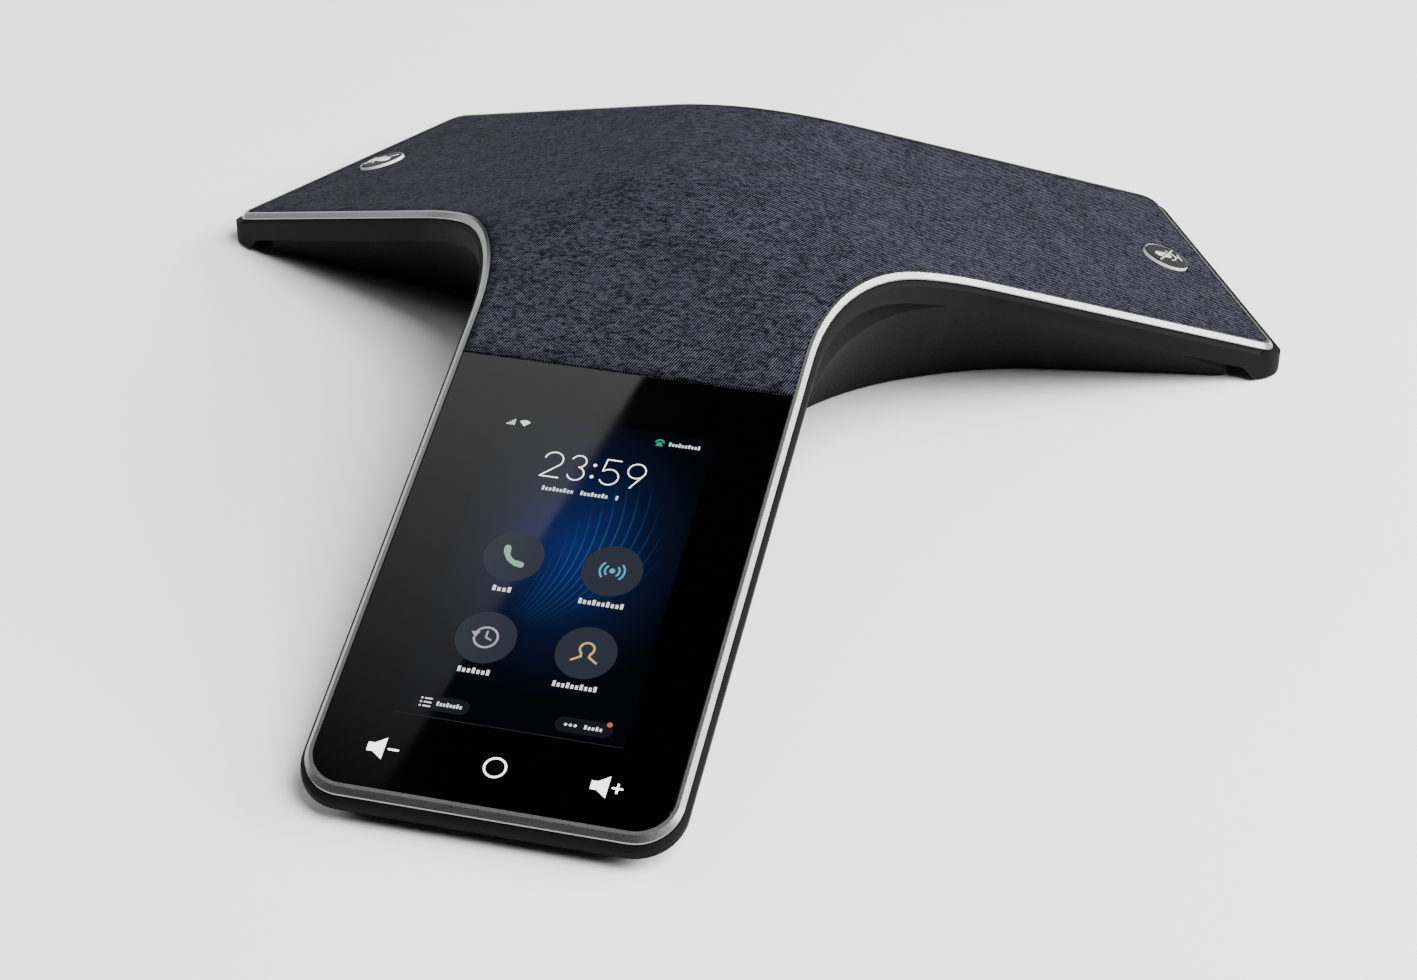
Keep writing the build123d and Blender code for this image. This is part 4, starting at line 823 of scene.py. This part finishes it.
def loudspeaker(mesh, x, y):
    """Loudspeaker sign with a minus, its left end at x."""
    magnet_half, horn_half, magnet_end, horn_end = 1.3, 3.3, 1.7, 4.6
    upper = [(x, y + magnet_half), (x + magnet_end, y + magnet_half), (x + horn_end, y + horn_half)]
    lower = [(a, 2 * y - b) for a, b in upper]
    plate(mesh, lower + upper[::-1])
    stroke(mesh, [(x + 5.8, y), (x + 8.3, y)], 0.55)


def draw_volume_down(mesh):
    loudspeaker(mesh, *VOLUME_DOWN)


def draw_volume_up(mesh):
    """Loudspeaker sign with a stroke that turns its minus into a plus."""
    x, y = VOLUME_UP
    loudspeaker(mesh, x, y)
    stroke(mesh, [(x + 7.05, y - 1.25), (x + 7.05, y + 1.25)], 0.6)


def draw_home(mesh):
    stroke(mesh, arc_points(HOME, HOME_RADIUS, 0, 360, 48), 0.55)


def make_display_graphics():
    """Lit graphics of the display, each lifted a little off the glass."""
    white = lit_mark("lit_white", (0.95, 0.97, 1.0), 3.5)
    soft_white = lit_mark("lit_soft_white", (0.80, 0.82, 0.86), 1.6)
    graphics = (                         # name, drawing, material, lift in millimetres
        ("icon_discs", draw_discs, lit_mark("lit_haze", (0.026, 0.033, 0.050)), 0.01),
        ("soft_key_pills", draw_soft_keys, lit_mark("lit_pill", (0.007, 0.007, 0.009)), 0.01),
        ("picture_edge_line", draw_edge_line, lit_mark("lit_edge", (0.02, 0.02, 0.024)), 0.01),
        ("clock_digits", draw_clock, lit_mark("lit_clock", (0.95, 0.97, 1.0), 2.6), 0.02),
        ("status_icons", draw_status, soft_white, 0.02),
        ("word_dashes", draw_word_dashes, soft_white, 0.03),
        ("soft_key_marks", draw_soft_key_marks, soft_white, 0.03),
        ("call_icon", draw_handset, lit_mark("lit_mint", (0.30, 0.66, 0.46)), 0.04),
        ("line_icon", draw_line_icon, lit_mark("lit_green", (0.02, 0.42, 0.20)), 0.02),
        ("wireless_icon", draw_waves, lit_mark("lit_blue", (0.12, 0.50, 0.82)), 0.04),
        ("recent_icon", draw_recent, lit_mark("lit_pink", (0.58, 0.50, 0.62)), 0.04),
        ("contact_icon", draw_contact, lit_mark("lit_sand", (0.80, 0.60, 0.26)), 0.04),
        ("alert_dot", draw_alert, lit_mark("lit_red", (0.80, 0.14, 0.12)), 0.04),
        ("volume_down_mark", draw_volume_down, white, 0.01),
        ("volume_up_mark", draw_volume_up, white, 0.01),
        ("home_mark", draw_home, white, 0.01),
    )
    for name, draw, material, lift in graphics:
        graphic(name, draw, picture_matrix(lift), material, "housing")


# ---- the mute keys' marks -----------------------------------------------------------------
def draw_microphone(mesh):
    """Microphone in its cradle, on a stand."""
    half, centre = MICROPHONE_HALF, (0, MICROPHONE_BOTTOM)
    outline = arc_points((0, MICROPHONE_TOP), half, 0, 180, 12) + arc_points(centre, half, 180, 360, 12)
    plate(mesh, outline, MARK_THICK)
    stroke(mesh, arc_points(centre, CRADLE_RADIUS, 190, 350, 16), MARK_LINE, MARK_THICK)
    stroke(mesh, [(0, STEM_TOP), (0, STEM_BOTTOM)], MARK_LINE, MARK_THICK)
    stroke(mesh, [(-STAND_HALF, STAND), (STAND_HALF, STAND)], MARK_LINE, MARK_THICK)


def draw_slash(mesh, shift=0.0):
    stroke(mesh, [(-SLASH_X + shift, SLASH_Y), (SLASH_X + shift, -SLASH_Y)], SLASH_LINE, MARK_THICK)


def draw_slash_gap(mesh):
    """Cap-coloured strip that parts the microphone from its slash."""
    draw_slash(mesh, SLASH_GAP)


def make_mute_marks():
    ink = lit_mark("lit_key_mark", grey(0.95), 1.8)
    parts = (                            # name, drawing, material, lift in millimetres
        ("mute_mark", draw_microphone, ink, 0.02),
        ("slash_gap", draw_slash_gap, key_plastic("mark_gap"), 0.05),
        ("slash", draw_slash, ink, 0.08),
    )
    for side, word in SIDES:
        for name, draw, material, lift in parts:
            matrix = key_matrix(side, word, lift)
            graphic(f"{word}_{name}", draw, matrix, material, f"{word}_mute_key")


# ---- the scene ----------------------------------------------------------------------------
camera = make_camera()
make_floor()
make_soft_boxes()
make_glare_box(camera)
make_world()
dress_outside()
dress_inside()
make_cloth()
make_display_graphics()
make_mute_marks()
